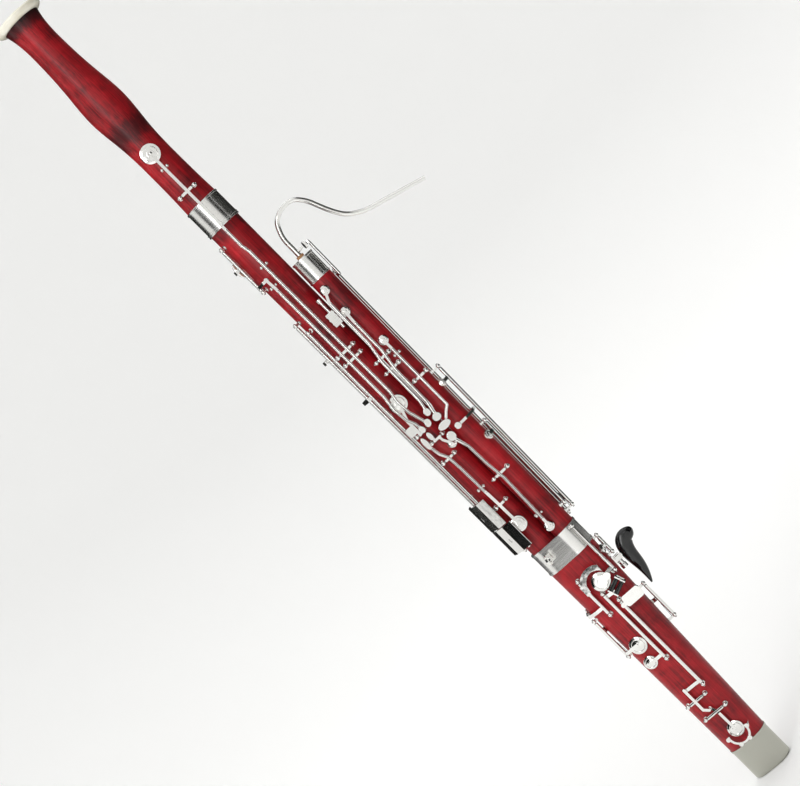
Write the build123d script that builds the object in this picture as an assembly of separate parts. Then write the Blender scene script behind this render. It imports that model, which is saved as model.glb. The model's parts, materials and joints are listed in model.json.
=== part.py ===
from build123d import *
import os
from math import atan2, cos, degrees, hypot, radians, sin, sqrt, tan

# A bassoon standing on its boot. Millimetres, +Z up along the bores, origin at the bottom centre of the boot
# cap, X along the line between the two bores (long joint at -X, wing joint at +X), -Y the thumb side.

# driving dimensions
cap_height = 49.0
boot_length = 321.0
ferrule_height = 35.0
long_length = 565.0
bell_ferrule_height = 41.0
bell_length = 355.0
bell_ring_height = 9.0
wing_length = 469.0

boot_foot_radius = 19.0
boot_foot_spread = 9.5
boot_margin = 3.1

long_low_radius = 18.9
long_high_radius = 22.8
wing_low_radius = 16.0
wing_high_radius = 15.2
wing_lean = 0.78
joint_gap = 0.6
bell_waist_radius = 22.0
bell_bulge_radius = 28.0
bell_ring_radius = 36.2

long_bore_low = 9.5
long_bore_high = 13.5
wing_bore_low = 4.6
wing_bore_high = 2.6
boot_small_bore = 5.5
boot_large_bore = 8.5
bell_bore_high = 17.5
liner_wall = 1.2
tenon_length = 36.0
tenon_wall = 3.6
cork_wall = 1.4

thumb_turn = 20.0
rod_radius = 1.2
hinge_clearance = 0.06
tube_wall = 1.05
post_head = 2.9
post_stem = 1.7
post_sink = 3.6
flange_radius = 3.2
flange_rise = 0.9
end_gap = 0.35
across_gap = 0.9
elbow_drop = 4.5
bar_width = 3.7
slim_width = 3.6
bar_thick = 2.5
cup_depth = 3.6
pad_gap = 0.3
ring_rise = 0.6
ring_wall = 1.3
lever_lift = 13.1
crossbar_drop = 4.2
wing_lift = 8.2

# places that follow from them
boot_wood_top = cap_height + boot_length
base = boot_wood_top + ferrule_height
long_top = base + long_length
bell_wood = long_top + bell_ferrule_height
bell_top = long_top + bell_length
wing_top = base + wing_length
tube_radius = rod_radius + hinge_clearance + tube_wall
long_axis_x = 7.9 - long_low_radius
wing_axis_x = long_axis_x + long_low_radius + wing_low_radius + joint_gap
boot_head_radius = long_low_radius + boot_margin
boot_head_spread = (wing_axis_x - long_axis_x) / 2 - 3.75
boot_head_shift = (wing_axis_x + long_axis_x) / 2 - 2.25
boot_neck_radius = boot_head_radius - 1.4
boot_right = boot_head_shift + boot_head_spread + boot_head_radius
boot_left = boot_head_shift - boot_head_spread - boot_head_radius
lever_z = long_low_radius + lever_lift
crossbar_z = lever_z - crossbar_drop
wing_lever_z = wing_low_radius + wing_lift
wing_bar_z = wing_lever_z - crossbar_drop - 0.1
reach = 90.0

long_tenon_radius = long_low_radius - tenon_wall
wing_tenon_radius = wing_low_radius - tenon_wall
tenon_socket = long_high_radius - tenon_wall
wing_foot_x = wing_axis_x - tenon_length * tan(radians(wing_lean))
wing_tube_top = wing_top - 34
cap_wall = 1.2
cap_inner = boot_foot_radius - cap_wall
bulge_turn = -160.0
bulge_low = base + wing_length * 0.245
bulge_length = wing_length * 0.554
bulge_depth = 21.0

whisper_open = 12.0
pancake_open = 8.0
low_f_open = 8.0
g_open = 8.0
roller_slope = 22.0
roller_radius = 2.9
roller_length = 18.0
roller_rise = 1.7
strap_hole = 4.2
crutch_y = boot_wood_top - 43
crutch_post_radius = 3.0
crutch_thick = 15.0
lock_radius = 2.4
lock_x = 16.4
lock_z = long_low_radius + 1.6
low_c_sharp_cup_y = base + 174

long_axis = Pos(long_axis_x, 0, 0)
wing_axis = Pos(wing_axis_x, 0, base) * Rot(0, wing_lean, 0) * Pos(0, 0, -base)
facing = Plane.XZ.location
thumb_long = long_axis * Rot(0, 0, thumb_turn) * facing
thumb_wing = wing_axis * Rot(0, 0, thumb_turn) * facing
thumb_boot = facing
turned_boot = Rot(0, 0, thumb_turn) * facing


def long_radius(y):
    return long_low_radius + (long_high_radius - long_low_radius) * (y - base) / long_length


def wing_radius(y):
    return wing_low_radius + (wing_high_radius - wing_low_radius) * (y - base) / wing_length


def upper_radius(y):
    return bell_waist_radius + 0.7 if y > bell_wood else long_radius(y)


def boot_share(y):
    return min(1.0, max(0.0, (y - cap_height) / boot_length))


def boot_radius(y):
    return boot_foot_radius + (boot_head_radius - boot_foot_radius) * boot_share(y)


def boot_core(x, y):
    """The point of the boot's middle line that is nearest to x at this height."""
    share = boot_share(y)
    middle = boot_head_shift * share
    spread = boot_foot_spread + (boot_head_spread - boot_foot_spread) * share
    return min(middle + spread, max(middle - spread, x))


# plain shapes, in a frame with x to the right, y up the bore and z outwards
def rod(start, end, radius):
    run = Vector(*end) - Vector(*start)
    place = Plane(origin=start, z_dir=run)
    return place * Cylinder(radius, run.length, align=(Align.CENTER, Align.CENTER, Align.MIN))


def ball(centre, radius):
    return Pos(*centre) * Sphere(radius)


def block(low, high):
    size = [b - a for a, b in zip(low, high)]
    return Pos(*[(a + b) / 2 for a, b in zip(low, high)]) * Box(*size)


def strip(points, width):
    """A flat sketch of a bar with round ends and round corners along the points."""
    drawn = Sketch()
    for (x0, y0), (x1, y1) in zip(points, points[1:]):
        turn = degrees(atan2(y1 - y0, x1 - x0))
        middle = Pos((x0 + x1) / 2, (y0 + y1) / 2)
        drawn += middle * Rot(0, 0, turn) * SlotCenterToCenter(hypot(x1 - x0, y1 - y0), width)
    return drawn


def lever(front, side, width=bar_width, thick=bar_thick):
    """A flat bar: front is its run as (x, y), side is its height as (y, z)."""
    seen = extrude(strip(front, width), amount=reach)
    profile = extrude(Plane.YZ * strip(side, thick), amount=reach, both=True)
    return seen & profile


def level_bar(front, z, width=bar_width, thick=bar_thick):
    """A flat bar at one height above the joint's axis."""
    return Pos(0, 0, z - thick / 2) * extrude(strip(front, width), amount=thick)


def cross_bar(points, y, width=bar_width, thick=bar_thick):
    """A bar that bends round the joint at one height: points are (x, z)."""
    section = Plane(origin=(0, y, 0), x_dir=(1, 0, 0), z_dir=(0, -1, 0)) * strip(points, thick)
    return extrude(section, amount=width / 2, both=True)


def touch(x, y, z, across, along, turn=0.0, thick=2.6):
    """An oval touch plate with its edge eased."""
    plate = extrude(Ellipse(across / 2, along / 2), amount=thick)
    eased = fillet(plate.edges().group_by(Axis.Z)[-1], thick * 0.35)
    return Pos(x, y, z - thick / 2) * Rot(0, 0, turn) * eased


def plate(x, y, z, across, along, turn=0.0, thick=2.4, corner=2.0):
    """A touch plate with rounded corners."""
    flat = extrude(RectangleRounded(across, along, corner), amount=thick)
    return Pos(x, y, z - thick / 2) * Rot(0, 0, turn) * flat


def cup(x, y, z, radius):
    """A pad cup with its pad inside: z is the pad's face, the crown looks outwards."""
    crown = cup_depth
    with BuildSketch(Plane.XZ) as half:
        with BuildLine():
            Line((0, 0), (radius - 0.5, 0))
            Line((radius - 0.5, 0), (radius, 0.5))
            Line((radius, 0.5), (radius, crown * 0.62))
            ThreePointArc((radius, crown * 0.62), (radius * 0.6, crown * 0.93), (0, crown))
            Line((0, crown), (0, 0))
        make_face()
    return Pos(x, y, z) * revolve(half.sketch, Axis.Z, 360)


def polar(angle, distance):
    """The (x, z) of a direction round a joint: 0 straight out, positive to the right."""
    return distance * sin(radians(angle)), distance * cos(radians(angle))


# hinges: a steel rod held by two ball-headed posts, with the key's tube between them
def up_hinge(x, z, low, high):
    return (x, low, z), (x, high, z)


def across_hinge(y, z, left, right):
    return (left, y, z), (right, y, z)


def hinge_rod(hinge):
    start, end = (Vector(*p) for p in hinge)
    way = (end - start).normalized()
    return rod(tuple(start - way * (post_head + 0.6)), tuple(end + way * (post_head + 0.6)), rod_radius)


def hinge_tube(hinge):
    start, end = (Vector(*p) for p in hinge)
    way = (end - start).normalized()
    inset = post_head + (across_gap if abs(way.X) > 0.5 else end_gap)
    return rod(tuple(start + way * inset), tuple(end - way * inset), tube_radius)


def hinge_bore(hinge):
    start, end = (Vector(*p) for p in hinge)
    way = (end - start).normalized()
    return rod(tuple(start - way * 6), tuple(end + way * 6), rod_radius + hinge_clearance)


def turned_post(foot, head, flange_low, flange_high):
    """A stem with a flange where it meets the wood and a ball head, turned in one piece."""
    height = (Vector(*head) - Vector(*foot)).length
    neck = height - sqrt(post_head**2 - post_stem**2)
    with BuildSketch(Plane.XZ) as half:
        with BuildLine():
            Polyline((0, 0), (post_stem, 0), (post_stem, flange_low), (flange_radius, flange_low))
            Polyline((flange_radius, flange_low), (flange_radius, flange_high), (post_stem, flange_high))
            Line((post_stem, flange_high), (post_stem, neck))
            ThreePointArc((post_stem, neck), (post_head, height), (0, height + post_head))
            Line((0, height + post_head), (0, 0))
        make_face()
    turned = revolve(half.sketch, Axis.Z, 360)
    return Plane(origin=foot, z_dir=Vector(*head) - Vector(*foot)) * turned


def post(head, core_x, radius):
    """A post from inside the wood to its ball head, square to the surface that it stands on."""
    x, y, z = head
    out = hypot(x - core_x, z)
    sunk = (radius - post_sink) / out
    foot = (core_x + (x - core_x) * sunk, y, z * sunk)
    return turned_post(foot, head, post_sink - 0.6, post_sink + flange_rise)


def elbow_post(head, core_x, radius):
    """A post for a hinge that lies across: straight down from its head, then in to the wood."""
    x, y, z = head
    foot_x = core_x + min(0.8 * radius, max(-0.8 * radius, x - core_x))
    face_z = sqrt(radius**2 - (foot_x - core_x) ** 2)
    if foot_x == x:
        return turned_post((x, y, face_z - post_sink), head, post_sink - 0.6, post_sink + flange_rise)
    elbow = (x, y, z - elbow_drop)
    face = Vector(foot_x, y, face_z)
    way = (face - Vector(*elbow)).normalized()
    sunk = rod(elbow, tuple(face + way * post_sink), post_stem)
    flange = rod(tuple(face - way * flange_rise), tuple(face + way * 0.6), flange_radius)
    return sunk + flange + rod(elbow, head, post_stem) + ball(elbow, post_stem) + ball(head, post_head)


def middle(x, y):
    return 0.0


# hinge places on the long joint and bell (thumb_long frame)
bell_hinge_y = bell_wood + 20
bell_cup_y = bell_wood + 84
bell_cup_radius = 12.8
bell_open = 4.87
bell_hook_y = long_top + 2
bell_hinge = across_hinge(bell_hinge_y, crossbar_z, -15, 9)

b_flat_hinge_y = base + 349
b_hinge_y = base + 335.5
b_flat_hinge = across_hinge(b_flat_hinge_y, crossbar_z, -16.5, 9)
b_hinge = across_hinge(b_hinge_y, crossbar_z, -16.5, 9)
b_flat_touch_y = base + 216
b_touch_y = base + 215
b_lever_top = long_top - 84

low_b_hinge = up_hinge(-24.7, 15.2, long_top - 93, long_top - 20)
low_b_cup_turn = -112.0
low_b_open = 12.9

d_hinge_y = base + 210
d_cup_y = base + 256
d_cup_radius = 11.8
d_open = 2.9
d_hinge = across_hinge(d_hinge_y, long_low_radius + 6.6, -16.6, -4.5)

c_lever_hinge = across_hinge(base + 163.5, long_low_radius + 5.8, -16.6, 2.5)
c_lever_z = long_low_radius + 9.6
c_key_hinge = across_hinge(base + 77, long_low_radius + 4.8, -9.5, 7)
c_cup_y = base + 43.8
c_cup_radius = 10.3
c_open = 8.1

c_sharp_hinge = across_hinge(base + 191, long_low_radius + 5.0, -9.5, 9)
little_reach = long_low_radius + 10.1
little_bend = little_reach + 5.6
little_e_hinge = up_hinge(*polar(-65, little_reach), base + 50, base + 414)
little_c_hinge = up_hinge(*polar(-47, little_reach), base + 15, base + 397)
long_hinges = [bell_hinge, b_flat_hinge, b_hinge, low_b_hinge, d_hinge, c_lever_hinge, c_key_hinge]
long_hinges += [c_sharp_hinge, little_e_hinge, little_c_hinge]

# hinge places on the wing joint (thumb_wing frame)
high_c_hinge = across_hinge(wing_top - 158, wing_bar_z, -25, -4)
high_a_hinge = across_hinge(wing_top - 176, wing_bar_z, -25, -4)
high_c_cup_y = wing_top - 49
high_a_cup_y = wing_top - 85.5
thumb_c_hinge = across_hinge(base + 262, wing_low_radius + 4.6, -6.5, 13)
wing_low_hinge = across_hinge(base + 106, wing_low_radius + 5.0, -21, 2.3)
whisper_hinge = up_hinge(*polar(110, 19.4), base + 8, wing_top - 40)
trill_e_hinge = up_hinge(*polar(82, 22.6), base + 22, base + 165)
trill_c_hinge = up_hinge(*polar(95, 28.0), base + 12, base + 254)
trill_e_cup_turn = 48.0
trill_e_cup_y = base + 150
trill_c_cup_turn = 78.0
trill_c_cup_y = base + 236
wing_hinges = [high_c_hinge, high_a_hinge, thumb_c_hinge, wing_low_hinge, whisper_hinge]
wing_hinges += [trill_e_hinge, trill_c_hinge]

# hinge places on the boot (thumb_boot frame)
pancake_hinge = up_hinge(boot_right - 1.9, boot_head_radius - 5.4, boot_wood_top - 46, base - 4)
thumb_b_hinge = up_hinge(-4.5, boot_head_radius + 5.0, boot_wood_top - 83, boot_wood_top - 25)
f_sharp_hinge = up_hinge(17.5, boot_head_radius + 4.6, cap_height + 95, cap_height + 245)
f_link_hinge = across_hinge(cap_height + 83, boot_foot_radius + 4.4, -19.5, 9)
f_cup_hinge = across_hinge(cap_height + 56, boot_foot_radius + 4.4, -15, 18)
a_flat_hinge = up_hinge(7.6, boot_head_radius + 5.0, cap_height + 150, boot_wood_top - 57)
g_sharp_hinge = up_hinge(boot_left + 0.5, boot_head_radius - 7.0, cap_height + 180, cap_height + 242)
low_f_hinge = up_hinge(boot_left + 7.0, 1.5 - boot_head_radius, cap_height + 84, cap_height + 190)
g_hinge = up_hinge(boot_right + 1.5, 8.5 - boot_head_radius, cap_height + 176, cap_height + 232)
side_hinge = up_hinge(boot_right + 3.9, 12.5 - boot_head_radius, boot_wood_top - 31, boot_wood_top - 3)
boot_hinges = [pancake_hinge, thumb_b_hinge, f_sharp_hinge, f_link_hinge, f_cup_hinge]
boot_hinges += [a_flat_hinge, g_sharp_hinge, low_f_hinge, g_hinge, side_hinge]


# tone holes: (frame, x, y, hole radius, height of the ring's top above the joint's axis)
def long_hole(turn, y, radius):
    return long_axis * Rot(0, 0, turn) * facing * Pos(0, y, 0), radius, long_radius(y)


def side_hole(frame, x, y, radius, surface):
    return frame * Pos(x, y, 0), radius, surface


def trill_place(turn):
    return wing_axis * Rot(0, 0, thumb_turn + turn) * facing


long_holes = [
    side_hole(thumb_long, -4.1, d_cup_y, 8.5, long_radius(d_cup_y)),
    side_hole(thumb_long, -3.1, c_cup_y, 7.5, long_radius(c_cup_y)),
    side_hole(thumb_long, 9.1, low_c_sharp_cup_y, 3.6, long_radius(low_c_sharp_cup_y)),
    long_hole(thumb_turn + low_b_cup_turn, long_top - 52, 8.0),
    long_hole(thumb_turn - 108, base + 355, 6.5),
    long_hole(thumb_turn - 108, base + 285, 6.5),
]
bell_holes = [side_hole(thumb_long, -2.1, bell_cup_y, 9.5, bell_waist_radius)]
wing_holes = [
    side_hole(thumb_wing, -7.6, high_c_cup_y, 2.6, wing_high_radius),
    side_hole(thumb_wing, -8.0, high_a_cup_y, 2.6, wing_high_radius),
    side_hole(thumb_wing, 1.5, base + 325.5, 3.0, wing_high_radius),
    side_hole(thumb_wing, -11.7, base + 15.3, 3.0, wing_low_radius),
    side_hole(trill_place(trill_e_cup_turn), 0, trill_e_cup_y, 3.2, wing_low_radius),
    side_hole(trill_place(trill_c_cup_turn), 0, trill_c_cup_y, 3.6, wing_low_radius),
]
side_cup_place = Pos(boot_core(99, boot_wood_top - 18), 0, 0) * Rot(0, 0, 82) * facing
left_cup_place = Pos(boot_core(-99, boot_wood_top - 70), 0, 0) * Rot(0, 0, -90) * facing
boot_holes = [
    side_hole(thumb_boot, 17, boot_wood_top - 44, 8.5, boot_head_radius - 0.4),
    side_hole(thumb_boot, -12.6, cap_height + 157.6, 5.5, boot_radius(cap_height + 157)),
    side_hole(thumb_boot, -8.4, cap_height + 184.5, 7.5, boot_radius(cap_height + 184)),
    side_hole(thumb_boot, 5.2, cap_height + 23.3, 7.0, boot_radius(cap_height + 23)),
    side_hole(side_cup_place, 0, boot_wood_top - 18, 3.4, boot_radius(boot_wood_top - 18)),
    side_hole(left_cup_place, 0, boot_wood_top - 70, 3.8, boot_radius(boot_wood_top - 70)),
    side_hole(Rot(0, 0, 180) * facing, -16, cap_height + 204, 8.0, boot_radius(cap_height + 204)),
    side_hole(Rot(0, 0, 180) * facing, 5.0, cap_height + 108, 9.0, boot_radius(cap_height + 108)),
]


def bored(wood, holes, depth):
    """The wood with a pocket for each ring and a hole through to the bore."""
    for place, radius, surface in holes:
        pocket = radius + ring_wall
        sunk = sqrt(max(1.0, surface**2 - pocket**2)) - 1.5
        up = (Align.CENTER, Align.CENTER, Align.MIN)
        wood -= place * Pos(0, 0, sunk) * Cylinder(pocket, 30, align=up)
        wood -= place * Pos(0, 0, depth) * Cylinder(radius, sunk - depth + 1, align=up)
    return wood


def rings(holes):
    group = []
    for place, radius, surface in holes:
        pocket = radius + ring_wall
        sunk = sqrt(max(1.0, surface**2 - pocket**2)) - 1.5
        height = surface + ring_rise - sunk
        up = (Align.CENTER, Align.CENTER, Align.MIN)
        ring = Cylinder(pocket, height, align=up) - Cylinder(radius, height, align=up)
        group.append(place * Pos(0, 0, sunk) * ring)
    return group


# wood
def oval(radius, spread, shift=0.0):
    return Pos(shift, 0) * SlotCenterToCenter(2 * spread, 2 * radius)


def oval_block(low, high, radius, spread, shift):
    return Pos(0, 0, low) * extrude(oval(radius, spread, shift), amount=high - low)


def bore_between(start, end, low_radius, high_radius):
    run = Vector(*end) - Vector(*start)
    place = Plane(origin=start, z_dir=run)
    if low_radius == high_radius:
        return rod(start, end, low_radius)
    up = (Align.CENTER, Align.CENTER, Align.MIN)
    return place * Cone(low_radius, high_radius, run.length, align=up)


def small_bore_line():
    """The small bore's ends: at the boot's foot and under the wing joint's tenon."""
    return (boot_foot_spread, 0, cap_height - 14), (wing_foot_x, 0, base - tenon_length - 1.2)


def large_bore_line():
    return (-boot_foot_spread, 0, cap_height - 14), (long_axis_x, 0, base - tenon_length)


def wing_socket():
    radius = wing_tenon_radius + cork_wall + 0.1
    room = rod((0, 0, base - tenon_length - 0.6), (0, 0, base + 2), radius)
    return wing_axis * (room + rod((0, 0, base - 0.1), (0, 0, base + 2), wing_low_radius + 0.4))


def boot_outside():
    foot = Pos(0, 0, cap_height) * oval(boot_foot_radius, boot_foot_spread)
    head = Pos(0, 0, boot_wood_top) * oval(boot_head_radius, boot_head_spread, boot_head_shift)
    return loft([foot, head])


def boot():
    wood = boot_outside()
    wood += oval_block(cap_height - 14, cap_height, cap_inner, boot_foot_spread, 0)
    wood += oval_block(boot_wood_top, base - 1.5, boot_neck_radius, boot_head_spread, boot_head_shift)
    wood -= rod(*small_bore_line(), boot_small_bore + liner_wall)
    wood -= wing_axis * rod((0, 0, base - tenon_length - 3), (0, 0, base - tenon_length), wing_bore_low)
    wood -= bore_between(*large_bore_line(), boot_large_bore, long_bore_low)
    wood -= rod((long_axis_x, 0, base - tenon_length), (long_axis_x, 0, base), long_tenon_radius + cork_wall)
    return bored(wood - wing_socket(), boot_holes, 4.0)


def boot_liner():
    liner = rod(*small_bore_line(), boot_small_bore + liner_wall) - rod(*small_bore_line(), boot_small_bore)
    for place, radius, _ in boot_holes:
        liner -= place * rod((0, 0, 4), (0, 0, 30), radius)
    return liner


def boot_ferrule():
    rim = boot_head_radius + 1.3
    band = oval_block(boot_wood_top, base, boot_head_radius + 0.6, boot_head_spread, boot_head_shift)
    band += oval_block(boot_wood_top, boot_wood_top + 3, rim, boot_head_spread, boot_head_shift)
    band += oval_block(base - 3, base, rim, boot_head_spread, boot_head_shift)
    band -= oval_block(boot_wood_top, base - 1.5, boot_neck_radius, boot_head_spread, boot_head_shift)
    band -= rod((long_axis_x, 0, base - 2), (long_axis_x, 0, base + 1), long_tenon_radius + cork_wall)
    return band - wing_socket()


def boot_cap():
    shell = oval_block(0, cap_height, boot_foot_radius, boot_foot_spread, 0)
    rim = oval_block(cap_height - 3.5, cap_height, boot_foot_radius + 0.7, boot_foot_spread, 0)
    rounded = fillet(shell.edges().group_by(Axis.Z)[0], 3.0)
    return rounded + rim - oval_block(cap_wall + 0.3, cap_height, cap_inner, boot_foot_spread, 0)


def u_tube():
    plate_low = cap_height - 18
    outer = boot_foot_spread - 1.2
    inner = outer - 1.2
    bend_z = outer + boot_foot_spread + 2.2
    body = Part()
    hollow = Part()
    for radius, side in ((outer, 0), (inner, 1)):
        bend = Plane.XY.offset(bend_z) * (Pos(-boot_foot_spread, 0) * Circle(radius))
        half = revolve(bend, Axis((0, 0, bend_z), (0, -1, 0)), 180)
        legs = rod((-boot_foot_spread, 0, bend_z), (-boot_foot_spread, 0, plate_low + 3), radius)
        legs += rod((boot_foot_spread, 0, bend_z), (boot_foot_spread, 0, plate_low + 3), radius)
        if side:
            hollow = half + legs
        else:
            body = half + legs
    body += oval_block(plate_low, plate_low + 3, cap_inner - 0.4, boot_foot_spread, 0)
    return body - hollow


def u_tube_gasket():
    low = cap_height - 15
    sheet = oval_block(low, low + 1, cap_inner - 0.4, boot_foot_spread, 0)
    for side in (-boot_foot_spread, boot_foot_spread):
        sheet -= rod((side, 0, low - 1), (side, 0, low + 2), boot_large_bore)
    return sheet


def u_tube_nuts():
    low = cap_height - 18
    nuts = []
    for side in (-1, 1):
        y = side * (cap_inner - 4.5)
        nuts.append(rod((0, y, low - 7), (0, y, low), 2.4) + rod((0, y, low - 7), (0, y, low - 5), 3.2))
    return nuts


def long_joint():
    up = (Align.CENTER, Align.CENTER, Align.MIN)
    wood = Pos(0, 0, base) * Cone(long_low_radius, long_high_radius, long_length, align=up)
    wood += Pos(0, 0, base - tenon_length) * Cylinder(long_tenon_radius, tenon_length, align=up)
    wood += Pos(0, 0, long_top) * Cylinder(long_high_radius - tenon_wall - cork_wall, tenon_length, align=up)
    whole = long_length + 2 * tenon_length
    wood -= Pos(0, 0, base - tenon_length) * Cone(long_bore_low, long_bore_high, whole, align=up)
    return bored(long_axis * wood, long_holes, 8.0)


def long_tenon_corks():
    low = sleeve(long_tenon_radius, cork_wall, base - tenon_length + 4, base - 5)
    inner = long_high_radius - tenon_wall - cork_wall
    high = sleeve(inner, cork_wall, long_top + 4, long_top + tenon_length - 4)
    return [long_axis * low, long_axis * high]


def sleeve(inner, wall, low, high):
    return rod((0, 0, low), (0, 0, high), inner + wall) - rod((0, 0, low), (0, 0, high), inner)


def wing_joint():
    up = (Align.CENTER, Align.CENTER, Align.MIN)
    wood = Pos(0, 0, base) * Cone(wing_low_radius, wing_high_radius, wing_length - 3, align=up)
    outside = Cylinder(30, 80, align=up) - Cylinder(wing_high_radius - 1.4, 80, align=up)
    wood -= Pos(0, 0, wing_tube_top) * outside
    wood += Pos(0, 0, base - tenon_length) * Cylinder(wing_tenon_radius, tenon_length, align=up)
    wood += wing_bulge() - long_joint_room()
    wood -= rod((0, 0, base - tenon_length), (0, 0, wing_top), wing_bore_low + liner_wall)
    wood -= rod((0, 0, wing_top - 26), (0, 0, wing_top), bocal_socket)
    for number in range(3):
        wood -= finger_hole(number)
    return bored(wing_axis * wood, wing_holes, 4.0)


def long_joint_room():
    """The space of the long joint beside the wing joint, which the wing's flank is hollowed for."""
    room = rod((0, 0, base), (0, 0, long_top), long_high_radius + 0.8)
    return wing_axis.inverse() * long_axis * room


def wing_bulge():
    """The thick side that carries the three finger holes."""
    sections = []
    for share, grow in ((0.0, 0.0), (0.17, 0.45), (0.4, 1.0), (0.66, 1.0), (0.85, 0.45), (1.0, 0.0)):
        deep = wing_high_radius - 3.2 + 9.0 * grow
        wide = wing_high_radius - 2.2 + 1.6 * grow
        shift = 1.5 + (bulge_depth - 9.5) * grow
        height = bulge_low + bulge_length * share
        sections.append(Pos(0, -shift, height) * Ellipse(wide, deep))
    return Rot(0, 0, bulge_turn) * loft(sections)


def finger_hole(number):
    height = bulge_low + bulge_length * (0.3 + 0.2 * number)
    slope = (-28, 0, 28)[number]
    start = (0, 0, height - slope * 0.3)
    end = (0, -60, height + slope)
    return Rot(0, 0, bulge_turn) * rod(start, end, 2.9)


def wing_liner():
    low = base - tenon_length
    up = (Align.CENTER, Align.CENTER, Align.MIN)
    length = wing_top - 26 - low
    outer = rod((0, 0, low), (0, 0, wing_top - 26), wing_bore_low + liner_wall)
    liner = outer - Pos(0, 0, low) * Cone(wing_bore_low, wing_bore_high, length, align=up)
    for number in range(3):
        liner -= finger_hole(number)
    placed = wing_axis * liner
    for place, radius, _ in wing_holes:
        placed -= place * rod((0, 0, 2), (0, 0, 30), radius)
    return placed


def wing_ferrule():
    inner = wing_high_radius - 1.4
    band = sleeve(inner, 1.6, wing_tube_top, wing_top - 3)
    band += sleeve(inner, 2.3, wing_tube_top, wing_tube_top + 2)
    band += rod((0, 0, wing_top - 3), (0, 0, wing_top), inner + 2.3)
    return wing_axis * (band - rod((0, 0, wing_top - 5), (0, 0, wing_top + 1), bocal_socket))


def wing_tenon_cork():
    return wing_axis * sleeve(wing_tenon_radius, cork_wall, base - tenon_length + 4, base - 5)


def bell():
    """The bell's wood: an outline turned about the bore."""
    top = bell_top
    bulge = bell_wood + 163
    step = long_top + tenon_length + 1
    with BuildSketch(Plane.XZ) as half:
        with BuildLine():
            Line((long_high_radius, long_top), (long_high_radius, bell_wood))
            Line((long_high_radius, bell_wood), (bell_waist_radius + 1.4, bell_wood))
            Spline(
                (bell_waist_radius + 1.4, bell_wood),
                (bell_waist_radius, bell_wood + 64),
                (bell_waist_radius + 1.6, bulge - 49),
                (bell_bulge_radius, bulge),
                (bell_waist_radius + 2.4, top - 103),
                (bell_waist_radius - 0.3, top - 50),
                (bell_waist_radius + 0.8, top - 20),
                (bell_waist_radius + 4.6, top - 1),
            )
            Line((bell_waist_radius + 4.6, top - 1), (bell_bore_high, top - 1))
            Line((bell_bore_high, top - 1), (long_bore_high + 0.3, step))
            Line((long_bore_high + 0.3, step), (tenon_socket, step))
            Line((tenon_socket, step), (tenon_socket, long_top))
            Line((tenon_socket, long_top), (long_high_radius, long_top))
        make_face()
    turned = revolve(half.sketch, Axis.Z, 360)
    return bored(long_axis * turned, bell_holes, 12.0)


def bell_ferrule():
    band = sleeve(long_high_radius, 1.3, long_top, bell_wood)
    for low in (long_top, long_top + 3, bell_wood - 2.5):
        band += sleeve(long_high_radius, 2.1, low, low + 2)
    return long_axis * band


def bell_ring():
    """The wide pale ring round the mouth, rounded outside and dished inside."""
    low = bell_top - 1
    outer = bell_ring_radius
    high = low + bell_ring_height + 1
    with BuildSketch(Plane.XZ) as half:
        with BuildLine():
            Line((bell_bore_high, low), (bell_waist_radius + 5.5, low))
            ThreePointArc(
                (bell_waist_radius + 5.5, low), (outer - 3.2, low + 1.9), (outer - 0.4, low + 5.2)
            )
            ThreePointArc((outer - 0.4, low + 5.2), (outer - 0.6, high - 1.2), (outer - 3.0, high))
            inner_low = (bell_bore_high, low + 2.5)
            ThreePointArc((outer - 3.0, high), (bell_bore_high + 4.5, high - 2.2), inner_low)
            Line((bell_bore_high, low + 2.5), (bell_bore_high, low))
        make_face()
    return long_axis * revolve(half.sketch, Axis.Z, 360)


# bocal: in the thumb_wing frame, it rises from the wing joint and curves over to the right
bocal_socket = 4.5
bocal_base_radius = 3.9
bocal_radius = 3.1
bocal_tip_radius = 2.5
bocal_wall = 0.7
bocal_corners = [(0, 34), (8, 53.5), (24, 61.5), (42, 60.5), (54, 47), (66, 18), (77, -0.5), (97, -13)]
bocal_end = (179.4, -35.2)
reed_seat = 12.0
pip_height = 9.0


def bocal_path_points():
    start = (0, 16)
    return [(x, wing_top + y) for x, y in [start, *bocal_corners, bocal_end]]


def bend_radii(points):
    """The largest arc at each corner that both of its runs have room for."""
    radii = []
    for before, at, after in zip(points, points[1:], points[2:]):
        run_in = Vector(*at) - Vector(*before)
        run_out = Vector(*after) - Vector(*at)
        turn = radians(run_in.get_angle(run_out))
        radii.append(0.45 * min(run_in.length, run_out.length) / tan(turn / 2))
    return radii


def points_end(points):
    return Vector(*points[-1], 0)


def bocal():
    points = bocal_path_points()
    straight = Vector(*points[-1]) - Vector(*points[-2])
    way = straight.normalized()
    cone_start = Vector(*points[-1]) - way * (straight.length * 0.5)
    seat_start = Vector(*points[-1]) - way * reed_seat
    corners = [*points[:-1], (cone_start.X, cone_start.Y)]
    radii = bend_radii(corners)
    path = FilletPolyline(*corners, radius=radii)
    section = Plane(origin=(*corners[0], 0), z_dir=(0, 1, 0))
    outer = sweep(section * Circle(bocal_radius), path=path)
    inner = sweep(section * Circle(bocal_radius - bocal_wall), path=path)
    low = wing_top - 22
    foot = bore_between((0, low, 0), (*corners[0], 0), bocal_base_radius, bocal_radius)
    foot_hole = bore_between((0, low, 0), (*corners[0], 0), bocal_base_radius - 1, bocal_radius - bocal_wall)
    tip = bore_between(tuple(cone_start), tuple(seat_start), bocal_radius, bocal_tip_radius)
    tip += rod(tuple(seat_start), tuple(points_end(points)), bocal_tip_radius)
    hole = bore_between(tuple(cone_start), tuple(points_end(points)), bocal_radius - bocal_wall, 1.7)
    return thumb_wing * (outer + foot + tip - inner - foot_hole - hole)


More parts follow.
